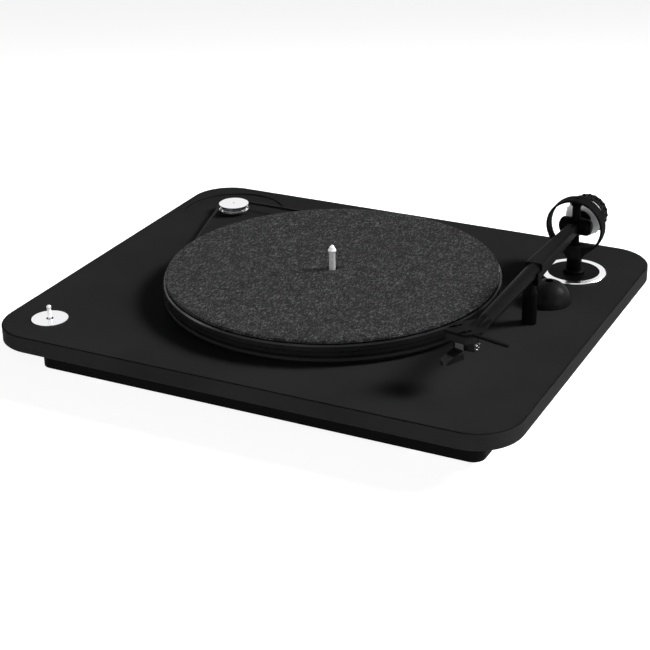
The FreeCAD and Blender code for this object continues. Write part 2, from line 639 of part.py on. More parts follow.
def rear_panel():
    """Metal plate behind the window of the base slab, with the sockets that it carries."""
    inside = "tray_half_y - tray_wall"
    height = "tray_top_floor + 12"
    blank = box("rear_panel_blank", "118", "2", "21", PANEL_X, inside + " - 1", "tray_top_floor + 1.5")
    jacks = [PANEL_X + " + 26", PANEL_X + " + 44"]
    bores = [cylinder("panel_bore%d" % i, "socket_radius - 0.4", "6", x, inside + " - 4", height, BACKWARD)
             for i, x in enumerate(jacks)]
    bores.append(cylinder("panel_ground_bore", "2", "6", PANEL_X + " + 4", inside + " - 4", height,
                          BACKWARD))
    bores.append(cylinder("panel_power_bore", "4", "6", PANEL_X + " - 40", inside + " - 4", height,
                          BACKWARD))
    keep(cut("rear_panel", blank, *bores), "rear_panel")
    sockets = []
    for i, x in enumerate(jacks):
        corners = (("0", "0"), ("1", "0"), ("1", "3"), ("socket_radius - 0.4", "3"),
                   ("socket_radius - 0.4", "8"), ("socket_radius + 2", "8"), ("socket_radius + 2", "10"),
                   ("socket_radius", "10"), ("socket_radius", "18"), ("1.7", "18"), ("1.7", "11"),
                   ("0", "11"))
        sockets.append(turned("socket%d" % i, corners, x, inside + " - 8", height, BACKWARD))
    keep(group("phono_sockets", sockets), "phono_sockets")
    post = (("0", "0"), ("2", "0"), ("2", "8"), ("4.6", "8"), ("5", "8.6"), ("5", "15"), ("4.4", "15.6"),
            ("0", "15.6"))
    keep(turned("ground_terminal", post, PANEL_X + " + 4", inside + " - 8", height, BACKWARD),
         "ground_terminal")
    shell = fuse("power_shell", cylinder("power_tube", "4", "12", PANEL_X + " - 40", inside + " - 9",
                                         height, BACKWARD),
                 cylinder("power_collar", "6", "2", PANEL_X + " - 40", inside, height, BACKWARD))
    hollow = cylinder("power_bore", "2.75", "10", PANEL_X + " - 40", inside + " - 6", height, BACKWARD)
    pin = cylinder("power_pin", "1", "9", PANEL_X + " - 40", inside + " - 7", height, BACKWARD)
    keep(fuse("power_inlet", cut("power_socket", shell, hollow), pin), "power_inlet")


def lead(name, points, radius):
    """Round wire along a smooth curve through a few points."""
    curve = Part.BSplineCurve()
    curve.interpolate(list(points))
    spine = Part.Wire([curve.toShape()])
    start = curve.value(curve.FirstParameter)
    along = curve.tangent(curve.FirstParameter)[0]
    end = Part.Wire([Part.makeCircle(radius, start, along)])
    return solid_from(name, spine.makePipeShell([end], True, True), "0", "0", "0")


def leads():
    """Internal leads: board to motor, switch and power inlet, and arm base to signal sockets."""
    half_x = size("plinth_width") / 2 - size("tray_inset")
    half_y = size("plinth_depth") / 2 - size("tray_inset")
    floor = size("foot_height") + size("tray_floor")
    under = size("foot_height") + size("tray_height")
    radius = size("lead_radius")
    plug = Vector(85 - half_x, 61 - half_y + 17.1, floor + 9.6)
    ahead = Vector(0, 4, 0)
    motor_end = Vector(size("pulley_inset_side") - size("plinth_width") / 2,
                       size("plinth_depth") / 2 - size("pulley_inset_back") - size("motor_radius") - 0.1,
                       under - size("motor_plate") - size("motor_height") / 2)
    start = plug + Vector(-14, 0, 0)
    keep(lead("motor_lead", (start, start + ahead, start + Vector(-8, 30, -1),
                             motor_end + Vector(0, -40, -1), motor_end - ahead, motor_end), radius),
         "motor_lead")
    switch_end = Vector(size("switch_inset_side") - size("plinth_width") / 2 + size("switch_case") / 2 + 0.1,
                        size("switch_inset_front") - size("plinth_depth") / 2 + 2, under - 6)
    start = plug + Vector(-2, 0, 0)
    keep(lead("switch_lead", (start, start + ahead, start + Vector(-16, 14, 4), start + Vector(-44, 6, 4),
                              switch_end + Vector(16, 24, 0), switch_end + Vector(4, 0, 0), switch_end),
              radius), "switch_lead")
    panel = Vector(half_x - 135, half_y - size("tray_wall"), floor + 12)
    power_end = panel + Vector(-40, -9.1, 0)
    start = plug + Vector(10, 0, 0)
    keep(lead("power_lead", (start, start + ahead, start + Vector(10, 30, -2), Vector(-50, 60, floor + 6),
                             power_end + Vector(-4, -26, -3), power_end - ahead, power_end), radius),
         "power_lead")
    arm = Vector(size("plinth_width") / 2 - size("arm_inset"), size("arm_back"), under - 7.5)
    pair = []
    for i, jack in enumerate((26, 44)):
        start = arm + Vector(-5.1, 4 * i - 2, 0)
        finish = panel + Vector(jack, -8.1, 0)
        bend = finish + Vector(12, -14, 2 * i - 4)
        pair.append(lead("phono_wire%d" % i, (start, start - Vector(4, 0, 0), bend, finish - ahead, finish),
                         radius / 2))
    keep(group("phono_leads", pair), "phono_leads")


switch()
electronics()
rear_panel()
leads()


# ---------------------------------------------------------------- arm base and hoop
def arm_base():
    """Black disc in a bright ring, and the pillar that is bolted through the deck."""
    disc = cylinder("arm_disc_blank", "ring_inner", "1.5", "arm_x", "arm_back", "deck_top")
    hole = cylinder("arm_disc_hole", "5", "4", "arm_x", "arm_back", "deck_top - 1")
    keep(cut("arm_base_disc", disc, hole), "arm_base_disc")
    ring = (("ring_inner", "0"), ("ring_outer", "0"), ("ring_outer", "1.4"), ("ring_outer - 0.6", "2"),
            ("ring_inner", "2"))
    keep(turned("arm_trim_ring", ring, "arm_x", "arm_back", "deck_top"), "arm_trim_ring")
    low = "(plinth_thickness + 10)"
    corners = (("0", "0"), ("5", "0"), ("5", low + " + 1.5"), ("9", low + " + 1.5"), ("9", low + " + 3.5"),
               ("8", low + " + 4.5"), ("pillar_radius", low + " + 4.5"),
               ("pillar_radius", low + " + pillar_height"), ("0", low + " + pillar_height"))
    keep(turned("arm_pillar", corners, "arm_x", "arm_back", "deck_top - %s" % low), "arm_pillar")
    nut = hexagon("arm_nut_blank", "9", "nut_thickness", "arm_x", "arm_back", "deck_under - nut_thickness")
    bore = cylinder("arm_nut_bore", "5", "nut_thickness + 2", "arm_x", "arm_back",
                    "deck_under - nut_thickness - 1")
    keep(cut("arm_base_nut", nut, bore), "arm_base_nut")


def hoop():
    """Upright hoop about the pivot that flares out of the top of the pillar and widens upwards."""
    foot = "deck_top + pillar_height"
    disc = cylinder("hoop_disc", "hoop_outer", "40", "arm_x", "arm_back + 20", "pivot_z", FORWARD)
    flare = wedge("hoop_flare", ("-pillar_radius", "pillar_radius", "0", "40"),
                  ("-hoop_outer + 4", "hoop_outer - 4", "0", "40"), "pivot_height - pillar_height - 14",
                  "arm_x", "arm_back + 20", foot, FORWARD)
    width = wedge("hoop_width",
                  ("-hoop_outer - 1", "hoop_outer + 1", "-hoop_foot_width / 2", "hoop_foot_width / 2"),
                  ("-hoop_outer - 1", "hoop_outer + 1", "-hoop_crown_width / 2", "hoop_crown_width / 2"),
                  "pivot_height - pillar_height + hoop_outer", "arm_x", "arm_back", foot, FORWARD)
    boss = cylinder("hoop_boss", "axle_radius + 4.5", "pivot_height - pillar_height - hoop_saddle", "arm_x",
                    "arm_back", foot)
    circle = cylinder("hoop_circle", "hoop_inner", "44", "arm_x", "arm_back + 22", "pivot_z", FORWARD)
    above = box("hoop_above", "2 * hoop_outer", "46", "hoop_saddle + hoop_outer", "arm_x", "arm_back",
                "pivot_z - hoop_saddle")
    opening = common("hoop_opening", circle, above)
    pins = cylinder("hoop_pin_bore", "2", "2 * hoop_outer + 4", "arm_x", "arm_back",
                    "pivot_z - hoop_outer - 2")
    seat = cylinder("hoop_cup_seat", "axle_radius + 1.3", "10", "arm_x", "arm_back",
                    "pivot_z - hoop_inner + 0.2")
    blank = common("hoop_blank", fuse("hoop_sides", disc, flare), width)
    keep(cut("hoop_yoke", fuse("hoop_solid", blank, boss), opening, pins, seat), "hoop_yoke")


def pivot_bearings():
    """Bearing cups pegged into the foot and the crown of the hoop, and the upright axle between."""
    gap = "running_gap"
    wall = "axle_radius + 1.3"
    cup = (("0", "0"), ("2", "0"), ("2", "1.4"), (wall, "2.2"), (wall, "5"), ("axle_radius + " + gap, "5"),
           ("axle_radius + " + gap, "3"), ("0", "3"))
    keep(turned("lower_pivot_bearing", cup, "arm_x", "arm_back", "pivot_z - hoop_inner - 1.2"),
         "lower_pivot_bearing")
    keep(turned("upper_pivot_bearing", cup, "arm_x", "arm_back", "pivot_z + hoop_inner + 1.2", DOWNWARD),
         "upper_pivot_bearing")
    rod = cylinder("pivot_axle_rod", "axle_radius", "2 * hoop_inner - 3.7", "arm_x", "arm_back",
                   "pivot_z - hoop_inner + 1.85")
    bore = cylinder("pivot_axle_bore", "1.5", "8", "arm_x - 4", "arm_back", "pivot_z", SIDEWAYS)
    keep(cut("pivot_axle", rod, bore), "pivot_axle")
    keep(cylinder("tilt_pin", "1.5", "barrel_length + 4", "arm_x - barrel_length / 2 - 2", "arm_back",
                  "pivot_z", SIDEWAYS), "tilt_pin")


arm_base()
hoop()
pivot_bearings()


# ---------------------------------------------------------------- arm
def barrel():
    """Cross barrel that tips on the pin, slotted above and below for the upright axle."""
    tube = cylinder("barrel_blank", "barrel_radius", "barrel_length", "arm_x - barrel_length / 2",
                    "arm_back", "pivot_z", SIDEWAYS)
    hollow = cylinder("barrel_hollow", "barrel_radius - 2", "barrel_length + 2",
                      "arm_x - barrel_length / 2 - 1", "arm_back", "pivot_z", SIDEWAYS)
    slot = box("barrel_slot", "2 * (axle_radius + swing_clear)", "2 * (axle_radius + 2 + swing_clear)",
               "3 * barrel_radius", "arm_x", "arm_back", "pivot_z - 1.5 * barrel_radius")
    keep(cut("pivot_barrel", tube, hollow, slot), "pivot_barrel")
    caps = []
    for i, (turn, sign) in enumerate(((SIDEWAYS, 1), (Rotation(Vector(0, 1, 0), -90), -1))):
        corners = (("1.5 + running_gap", "0"), ("barrel_radius - 2", "0"), ("barrel_radius - 2", "2"),
                   ("barrel_radius", "2"), ("barrel_radius", "barrel_cap"),
                   ("barrel_radius - 0.4", "barrel_cap + 1.5"), ("barrel_radius - 1.6", "barrel_cap + 2.9"),
                   ("barrel_radius - 3.4", "barrel_cap + 3.9"), ("0", "barrel_cap + 4.4"), ("0", "4.2"),
                   ("1.5 + running_gap", "4.2"))
        caps.append(turned("barrel_cap%d" % i, corners, "arm_x + %d * (barrel_length / 2 - 2)" % sign,
                           "arm_back", "pivot_z", turn))
    keep(group("barrel_caps", caps), "barrel_caps")


def sleeve():
    """Tapered square sleeve ahead of the barrel."""
    taper = wedge("sleeve_taper",
                  ("-sleeve_rear_width / 2", "sleeve_rear_width / 2", "-sleeve_rear_width / 2",
                   "sleeve_rear_width / 2"),
                  ("-sleeve_front_width / 2", "sleeve_front_width / 2", "-sleeve_front_width / 2 + 0.8",
                   "sleeve_front_width / 2 - 0.8"),
                  "sleeve_length", "arm_x", "arm_back - barrel_radius - 1.8", "pivot_z", AHEAD)
    doc.recompute()
    rounded = doc.addObject("Part::Fillet", "sleeve_rounded")
    rounded.Base = taper
    rounded.Edges = [(i, 2.2, 2.2) for i, side in enumerate(taper.Shape.Edges, start=1)
                     if side.BoundBox.YLength > 10]
    neck = cylinder("sleeve_neck", "sleeve_rear_width / 2 - 0.3", "8", "arm_x", "arm_back - 3", "pivot_z",
                    FORWARD)
    round_seat = cylinder("sleeve_seat", "barrel_radius", "30", "arm_x - 15", "arm_back", "pivot_z",
                          SIDEWAYS)
    socket = cylinder("sleeve_socket", "spigot_radius", "16", "arm_x",
                      "arm_back - barrel_radius - 1.8 - sleeve_length + 15", "pivot_z", FORWARD)
    keep(cut("arm_rear_sleeve", fuse("sleeve_solid", rounded, neck), round_seat, socket),
         "arm_rear_sleeve")


FRONT_Y = "arm_back - barrel_radius - 1.8 - sleeve_length"
HEAD_Y = FRONT_Y + " - tube_length"


def arm_tube():
    """Slim tapered tube between the sleeve and the headshell."""
    length = cone("arm_tube_cone", "tube_rear_radius", "tube_front_radius", "tube_length", "arm_x",
                  FRONT_Y, "pivot_z", FORWARD)
    rear_peg = cylinder("arm_tube_peg", "spigot_radius", "14", "arm_x", FRONT_Y + " + 14", "pivot_z",
                        FORWARD)
    socket = cylinder("arm_tube_socket", "spigot_radius - 1", "13", "arm_x", HEAD_Y + " + 12", "pivot_z",
                      FORWARD)
    keep(cut("arm_tube", fuse("arm_tube_solid", length, rear_peg), socket), "arm_tube")


def head_piece(name, corners, height, low):
    """Flat piece of the head: corners to the right of and behind the head's near left corner."""
    points = [("%g" % x, "%g" % y) for x, y in corners]
    return padded(name, points, height, "arm_x - 22", HEAD_Y + " - 34", "head_top + (%s)" % low)


def headshell():
    """Angled blade with two slots, grown out of the end of the tube."""
    blade = head_piece("shell_blade", ((16.6, 33), (10.4, 24.2), (4, 18.7), (1.5, 4.6), (19.3, 1.5),
                                       (29.4, 9.5), (27.4, 33)), "shell_thickness", "-shell_thickness")
    neck = cone("shell_neck", "tube_front_radius", "1.6", "17", "arm_x", HEAD_Y, "pivot_z", FORWARD)
    half = "0.7 * tube_front_radius"
    blend = wedge("shell_blend", ("-" + half, half, "-" + half, half),
                  ("-5.2", "6.4", "head_rise - shell_thickness", "head_rise"), "15",
                  "arm_x", HEAD_Y, "pivot_z", AHEAD)
    peg = cylinder("shell_peg", "spigot_radius - 1", "12", "arm_x", HEAD_Y + " + 11", "pivot_z", FORWARD)
    slots = []
    for i, (x, y) in enumerate(((3.5, 9), (14, 2))):
        slots.append(head_piece("shell_slot%d" % i, ((x + 1, y), (x + 7.8, y + 8), (x + 6, y + 9.4),
                                                     (x - 0.8, y + 1.4)), "shell_thickness + 2",
                                "-1 - shell_thickness"))
    keep(cut("headshell", fuse("shell_solid", blade, neck, blend, peg), *slots), "headshell")


def cartridge():
    """Cartridge under the blade with its two screws, four pins, stylus unit and stylus guard."""
    upper = head_piece("cartridge_upper", ((4.2, 16), (2.6, 5.2), (19, 2.4), (26.6, 9), (18.4, 19)), "6",
                       "-shell_thickness - 6")
    lower = head_piece("cartridge_lower", ((6, 18.2), (6, 11), (16.5, 7), (24.5, 7), (24.5, 16.5),
                                           (17, 20.5)), "7", "-shell_thickness - 13")
    screws = []
    bores = []
    for i, (x, y) in enumerate(((7, 13.7), (17.5, 6.7))):
        seat_x = "arm_x - 22 + %g" % x
        seat_y = HEAD_Y + " - 34 + %g" % y
        screws.append(screw("cartridge_screw%d" % i, "0.7", "1.6", "6.7", "0.9", seat_x, seat_y,
                            "head_top + 0.9", DOWNWARD))
        bores.append(cylinder("cartridge_bore%d" % i, "0.7", "8", seat_x, seat_y,
                              "head_top - shell_thickness - 3.3"))
    keep(group("cartridge_screws", screws), "cartridge_screws")
    keep(cut("cartridge_body", fuse("cartridge_solid", upper, lower), *bores), "cartridge_body")
    pins = [cylinder("cartridge_pin%d" % i, "0.5", "1.8", "arm_x + 2.5", HEAD_Y + " - 34 + %g" % y,
                     "head_top - %g" % depth, SIDEWAYS)
            for i, (y, depth) in enumerate(((10, 11), (10, 14), (14, 11), (14, 14)))]
    keep(group("cartridge_pins", pins), "cartridge_pins")
    holder = head_piece("stylus_holder", ((9.5, 9.66), (10.5, 4.6), (17.5, 3.2), (16.5, 7)), "5.5",
                        "-shell_thickness - 11.5")
    cantilever = cone("cantilever", "0.25", "0.45", "7", "arm_x - 8.4", HEAD_Y + " - 34 + 1.4",
                      "head_top - 17.4", Rotation(Vector(1, 0, 0), -60))
    tip = cone("stylus_tip", "0.1", "0.4", "1.6", "arm_x - 8.4", HEAD_Y + " - 34 + 1.6", "head_top - 18.6")
    keep(fuse("stylus_unit", holder, cantilever, tip), "stylus_unit")
    hood = head_piece("guard_hood", ((9.2, 4.86), (5, -9), (5.8, -11.4), (8.2, -12.6), (11.2, -11.8),
                                     (18.2, 3.06)), "7.6", "-20.6")
    hollow = head_piece("guard_hollow", ((10.2, 6), (6.2, -8.8), (8.2, -11.3), (10.6, -10.8), (17.2, 5)),
                        "6.8", "-21.6")
    slopes = [wedge("guard_slope%d" % i, ("-15", "25", "-15", str(-i)),
                    ("-15", "25", "-15", "%g" % (-5.6 - i)), "20", "arm_x", HEAD_Y + " - 27",
                    "head_top - 12.4", AHEAD) for i in range(2)]
    keep(cut("stylus_guard", common("guard_outside", hood, slopes[0]),
             common("guard_inside", hollow, slopes[1])), "stylus_guard")
    keep(head_piece("finger_lift", ((24.4, 5.54), (53.6, -1.8), (54.2, 0.6), (27.4, 7.92)), "2", "-2.2"),
         "finger_lift")


def counterweight():
    """Stub behind the barrel with a stop ring, the dial ring and the weight with its rear cap."""
    rear = "weight_back + dial_length + weight_length"
    corners = (("0", "0"), ("stub_radius", "0"), ("stub_radius", "13"), ("stub_flange", "13"),
               ("stub_flange", "15"), ("stub_radius", "15"), ("stub_radius", rear + " + 2"),
               ("0", rear + " + 2"))
    rod = turned("stub_rod", corners, "arm_x", "arm_back", "pivot_z", BACKWARD)
    seat = cylinder("stub_seat", "barrel_radius", "30", "arm_x - 15", "arm_back", "pivot_z", SIDEWAYS)
    keep(cut("counterweight_stub", rod, seat), "counterweight_stub")
    bore = "stub_radius + running_gap"
    dial = ((bore, "0"), ("dial_radius - 0.5", "0"), ("dial_radius", "0.5"), ("dial_radius", "dial_length"),
            (bore, "dial_length"))
    keep(turned("counterweight_dial", dial, "arm_x", "arm_back + weight_back", "pivot_z", BACKWARD),
         "counterweight_dial")
    body = ((bore, "0"), ("weight_radius", "0"), ("weight_radius", "weight_length"),
            (bore, "weight_length"))
    keep(turned("counterweight_body", body, "arm_x", "arm_back + weight_back + dial_length + running_gap",
                "pivot_z", BACKWARD), "counterweight_body")
    cap = ((bore, "0"), ("weight_radius", "0"), ("weight_radius", "weight_cap_length - 1"),
           ("weight_radius - 1", "weight_cap_length"), (bore, "weight_cap_length"))
    keep(turned("counterweight_cap", cap, "arm_x",
                "arm_back + weight_back + dial_length + weight_length + running_gap", "pivot_z", BACKWARD),
         "counterweight_cap")


def arm_rest():
    """Post with a slim neck, and a cradle open above and towards the platter."""
    low = "(plinth_thickness + 4)"
    corners = (("0", "0"), ("2.6", "0"), ("2.6", low), ("rest_radius", low),
               ("rest_radius", low + " + pivot_height - 17.3"), ("rest_neck", low + " + pivot_height - 10.3"),
               ("rest_neck", low + " + pivot_height - 8.9"), ("0", low + " + pivot_height - 8.9"))
    y = "arm_back - rest_forward"
    keep(turned("rest_post", corners, "arm_x", y, "deck_top - %s" % low), "rest_post")
    nut = hexagon("rest_nut_blank", "5", "3", "arm_x", y, "deck_under - 3")
    bore = cylinder("rest_nut_bore", "2.6", "5", "arm_x", y, "deck_under - 4")
    keep(cut("rest_nut", nut, bore), "rest_nut")
    room = "(tube_rear_radius + rest_gap)"
    yoke = box("cradle_yoke", "2 * %s + 2" % room, "8", "8.9 - %s" % room, "arm_x - 1", y, "pivot_z - 8.9")
    lip = box("cradle_lip", "rest_clip", "8", "10.5", "arm_x + %s + rest_clip / 2" % room, y,
              "pivot_z - 8.9")
    keep(fuse("rest_cradle", yoke, lip), "rest_cradle")


def adapter():
    """Domed adapter for records with a large hole, kept loose on the deck."""
    rise = "(adapter_height - 2)"
    dome = sphere("adapter_ball", "(%s * %s + (adapter_radius - 1) * (adapter_radius - 1)) / (2 * %s)"
                  % (rise, rise, rise), "arm_x", "arm_back - adapter_forward",
                  "deck_top + adapter_height - (%s * %s + (adapter_radius - 1) * (adapter_radius - 1))"
                  " / (2 * %s)" % (rise, rise, rise))
    keeper = cylinder("adapter_keeper", "adapter_radius", "adapter_height + 1", "arm_x",
                      "arm_back - adapter_forward", "deck_top + 2")
    rim = cylinder("adapter_rim", "adapter_radius", "2", "arm_x", "arm_back - adapter_forward", "deck_top")
    hole = cylinder("adapter_hole", "3.7", "adapter_height + 4", "arm_x", "arm_back - adapter_forward",
                    "deck_top - 1")
    keep(cut("adapter_dome", fuse("adapter_solid", common("adapter_cap", dome, keeper), rim), hole),
         "adapter_dome")


arm_tube()
barrel()
sleeve()
headshell()
cartridge()
counterweight()
arm_rest()
adapter()


# ---------------------------------------------------------------- check and write
def write_parts():
    """Recompute, refuse anything failed, and write each sub-part to its own file."""
    doc.recompute()
    for item in doc.Objects:
        if "Invalid" in item.State or "Error" in item.State:
            raise RuntimeError("%s did not recompute: %s" % (item.Name, item.State))
    os.makedirs("parts", exist_ok=True)
    for item in NODES:
        if item.Shape.isNull() or not item.Shape.isValid() or not item.Shape.Solids:
            raise RuntimeError("%s has no sound solid" % item.Label)
        item.Shape.exportStep("parts/%s.step" % item.Label)
        print("%-22s %2d solid(s) %10.1f mm3" % (item.Label, len(item.Shape.Solids), item.Shape.Volume))


write_parts()
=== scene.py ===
# %% [markdown]
# # A belt-drive record player
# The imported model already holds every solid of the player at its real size, so this lesson is about
# looks: light, finishes, and the few pieces whose surfaces need more than a plain solid. Everything
# is in metres. X runs right along the front, Y to the back, Z up, and the floor is at Z = 0.

# %% Load the frame
import math

import bpy
import numpy as np
from mathutils import Matrix, Vector


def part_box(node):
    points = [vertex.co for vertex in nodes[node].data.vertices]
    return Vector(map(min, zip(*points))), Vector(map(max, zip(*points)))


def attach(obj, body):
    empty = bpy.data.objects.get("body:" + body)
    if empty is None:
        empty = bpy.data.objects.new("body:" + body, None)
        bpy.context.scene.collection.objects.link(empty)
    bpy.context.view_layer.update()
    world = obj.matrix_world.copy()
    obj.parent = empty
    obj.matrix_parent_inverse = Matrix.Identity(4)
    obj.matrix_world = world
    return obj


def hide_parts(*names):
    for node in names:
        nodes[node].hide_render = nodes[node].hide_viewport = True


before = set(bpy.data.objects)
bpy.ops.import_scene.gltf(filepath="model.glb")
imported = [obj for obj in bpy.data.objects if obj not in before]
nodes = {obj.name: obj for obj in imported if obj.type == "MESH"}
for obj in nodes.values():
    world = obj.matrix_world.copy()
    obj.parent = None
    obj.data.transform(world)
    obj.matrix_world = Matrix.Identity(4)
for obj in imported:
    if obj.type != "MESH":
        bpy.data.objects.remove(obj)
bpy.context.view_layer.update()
MM = 0.001
print("pieces in the frame:", len(nodes))

# %% [markdown]
# ## Places that later cells share
# Nothing is typed in twice. The deck's top and the arm's pivot are read from the boxes of the
# solids, so the looks follow the model when its sizes change.


# %% Shared places
def low(node):
    """Lowest corner of a solid's box."""
    return np.array(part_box(node)[0])


def high(node):
    """Highest corner of a solid's box."""
    return np.array(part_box(node)[1])


def middle(node):
    """Centre of a solid's box."""
    return (low(node) + high(node)) / 2


deck_top = high("plinth_board")[2]
pivot = middle("pivot_barrel")
print("deck top", round(deck_top, 4), "pivot", pivot.round(4))

# %% [markdown]
# ## The camera
# The player is seen from the front right, about 25 degrees above the deck, through a long lens,
# with the camera rolled by a little over one degree. A camera looks along its own -Z, so its matrix
# is built from three axes: right, up and back.

# %% Camera
AZIMUTH = math.radians(27.15)
ELEVATION = math.radians(25.12)
ROLL = math.radians(-1.25)
DISTANCE = 1.3224
AIM_X, AIM_Y = 0.02376, -0.0652
FOCAL_LENGTH, SENSOR_WIDTH = 91.05, 36
target = Vector((AIM_X, AIM_Y, deck_top))
back = Vector((math.sin(AZIMUTH) * math.cos(ELEVATION),
               -math.cos(AZIMUTH) * math.cos(ELEVATION),
               math.sin(ELEVATION)))
level_right = Vector((0, 0, 1)).cross(back).normalized()
level_up = back.cross(level_right)
right = level_right * math.cos(ROLL) + level_up * math.sin(ROLL)
up = level_up * math.cos(ROLL) - level_right * math.sin(ROLL)
lens = bpy.data.cameras.new("camera")
lens.sensor_width = SENSOR_WIDTH
lens.lens = FOCAL_LENGTH
camera = bpy.data.objects.new("camera", lens)
spot = target + back * DISTANCE
camera.matrix_world = Matrix((
    (right.x, up.x, back.x, spot.x),
    (right.y, up.y, back.y, spot.y),
    (right.z, up.z, back.z, spot.z),
    (0, 0, 0, 1),
))
bpy.context.scene.collection.objects.link(camera)
bpy.context.scene.camera = camera
bpy.context.scene.view_settings.view_transform = "Standard"
print("camera at", [round(v, 3) for v in spot])

# %% [markdown]
# ## Small helpers
# A material is a graph of nodes. Six helpers keep the graphs short: they make an empty material,
# add a node and set its inputs by name, stretch a value from one range to another, mix two colours,
# do one step of arithmetic, and join the result to the output. A seventh makes a mesh object.


# %% Node helpers
def new_material(name):
    """An empty node material; returns it and its tree."""
    material = bpy.data.materials.new(name)
    material.use_nodes = True
    material.node_tree.nodes.clear()
    return material, material.node_tree


def add(tree, kind, inputs=None, **settings):
    """Adds a node: settings are its own properties, inputs are numbers or sockets by input name."""
    node = tree.nodes.new(kind)
    for key, value in settings.items():
        setattr(node, key, value)
    for key, value in (inputs or {}).items():
        if isinstance(value, bpy.types.NodeSocket):
            tree.links.new(value, node.inputs[key])
        else:
            node.inputs[key].default_value = value
    return node


def spread(tree, value, start, end, least, most):
    """Stretches value from the range start..end to the range least..most, held inside it."""
    node = add(tree, "ShaderNodeMapRange", {"Value": value, "From Min": start, "From Max": end,
                                            "To Min": least, "To Max": most})
    return node.outputs["Result"]


def blend_colours(tree, share, first, second):
    """Mixes two colours: share 0 gives the first and 1 the second."""
    node = add(tree, "ShaderNodeMix", {"Factor": share}, data_type="RGBA")
    for key, value in (("A", first), ("B", second)):
        if isinstance(value, bpy.types.NodeSocket):
            tree.links.new(value, node.inputs[key])
        else:
            node.inputs[key].default_value = (*value, 1)
    return node.outputs["Result"]


def calculate(tree, operation, first, second):
    """One arithmetic step on two numbers or sockets."""
    node = add(tree, "ShaderNodeMath", {0: first, 1: second}, operation=operation)
    return node.outputs[0]


def close(tree, shader):
    """Joins a shader to the tree's output."""
    add(tree, "ShaderNodeOutputMaterial", {"Surface": shader})


# %% Mesh helper
def new_object(name, points, faces):
    """A mesh object in the scene, from its points and the point numbers of each face."""
    mesh = bpy.data.meshes.new(name)
    mesh.from_pydata(points, [], faces)
    item = bpy.data.objects.new(name, mesh)
    bpy.context.scene.collection.objects.link(item)
    return item


# %% [markdown]
# ## World and floor
# The world and the floor glow white only for rays that come straight from the camera, off a mirror
# or through glass. The background then looks white without light poured on the black finishes,
# which a plain white world would turn grey, and the floor still keeps the player's shadow.


# %% World and floor
SKY_COLOUR = (0.97, 0.98, 1.0, 1)
SKY_STRENGTH = 0.02
PAPER_COLOUR = (0.82, 0.82, 0.82, 1)
PAPER_GLOW = 0.86
PAPER_HALF_WIDTH = 6.0
WHITE = (1, 1, 1, 1)


def straight_rays(tree):
    """1 for rays from the camera, off a mirror or through glass, else 0."""
    path = add(tree, "ShaderNodeLightPath")
    either = calculate(tree, "MAXIMUM", path.outputs["Is Camera Ray"],
                       path.outputs["Is Glossy Ray"])
    return calculate(tree, "MAXIMUM", either, path.outputs["Is Transmission Ray"])


def paint_world(strength):
    """Soft light from all round, with plain white for straight rays."""
    world = bpy.data.worlds.new("studio")
    world.use_nodes = True
    tree = world.node_tree
    tree.nodes.clear()
    soft = add(tree, "ShaderNodeBackground", {"Color": SKY_COLOUR, "Strength": strength})
    white = add(tree, "ShaderNodeBackground", {"Color": WHITE, "Strength": 1.0})
    mix = add(tree, "ShaderNodeMixShader",
              {0: straight_rays(tree), 1: soft.outputs[0], 2: white.outputs[0]})
    add(tree, "ShaderNodeOutputWorld", {"Surface": mix.outputs[0]})
    bpy.context.scene.world = world


def lay_floor(size, glow):
    """A square sheet at Z = 0, size metres each way, that glows for straight rays."""
    corners = [(-size, -size, 0), (size, -size, 0), (size, size, 0), (-size, size, 0)]
    paper = new_object("floor", corners, [(0, 1, 2, 3)])
    material, tree = new_material("floor_paper")
    matt = add(tree, "ShaderNodeBsdfDiffuse", {"Color": PAPER_COLOUR})
    dark = add(tree, "ShaderNodeEmission", {"Strength": 0.0})
    light = add(tree, "ShaderNodeEmission", {"Color": WHITE, "Strength": glow})
    veil = add(tree, "ShaderNodeMixShader",
               {0: straight_rays(tree), 1: dark.outputs[0], 2: light.outputs[0]})
    both = add(tree, "ShaderNodeAddShader", {0: matt.outputs[0], 1: veil.outputs[0]})
    close(tree, both.outputs[0])
    paper.data.materials.append(material)


paint_world(SKY_STRENGTH)
lay_floor(PAPER_HALF_WIDTH, PAPER_GLOW)
print("floor:", 2 * PAPER_HALF_WIDTH, "m square")

# %% [markdown]
# ## Lamps
# The main panel stands high behind the right-hand side, and its light is held to a narrow spread.
# That lays each shadow to the left, under the platter's left rim and beside the headshell. Three
# low panels, at the front, the right and the left, light the deck's sides, which one lamp from
# above would leave black.

# %% Lamps
LOW_AIM = (0, 0, 0.05)
MAIN_SPREAD = 26


def panel(name, place, aim, width, height, power, spread_angle=180):
    """Soft rectangular lamp facing aim; a small spread, in degrees, keeps its light near there."""
    lamp = bpy.data.lights.new(name, "AREA")
    lamp.shape = "RECTANGLE"
    lamp.size = width
    lamp.size_y = height
    lamp.energy = power
    lamp.spread = math.radians(spread_angle)
    item = bpy.data.objects.new(name, lamp)
    item.location = place
    item.rotation_mode = "QUATERNION"
    item.rotation_quaternion = (Vector(aim) - Vector(place)).to_track_quat("-Z", "Y")
    bpy.context.scene.collection.objects.link(item)


panel("main_panel", (2.5, 1.5, 2.4), (-0.1, -0.42, 0.0), 1.5, 1.5, 12, MAIN_SPREAD)
panel("front_panel", (0.0, -2.3, 0.30), LOW_AIM, 1.4, 0.4, 19)
panel("side_panel", (2.3, -0.6, 0.30), LOW_AIM, 0.8, 0.4, 15)
panel("left_panel", (-2.2, -0.9, 0.26), LOW_AIM, 0.8, 0.3, 9)

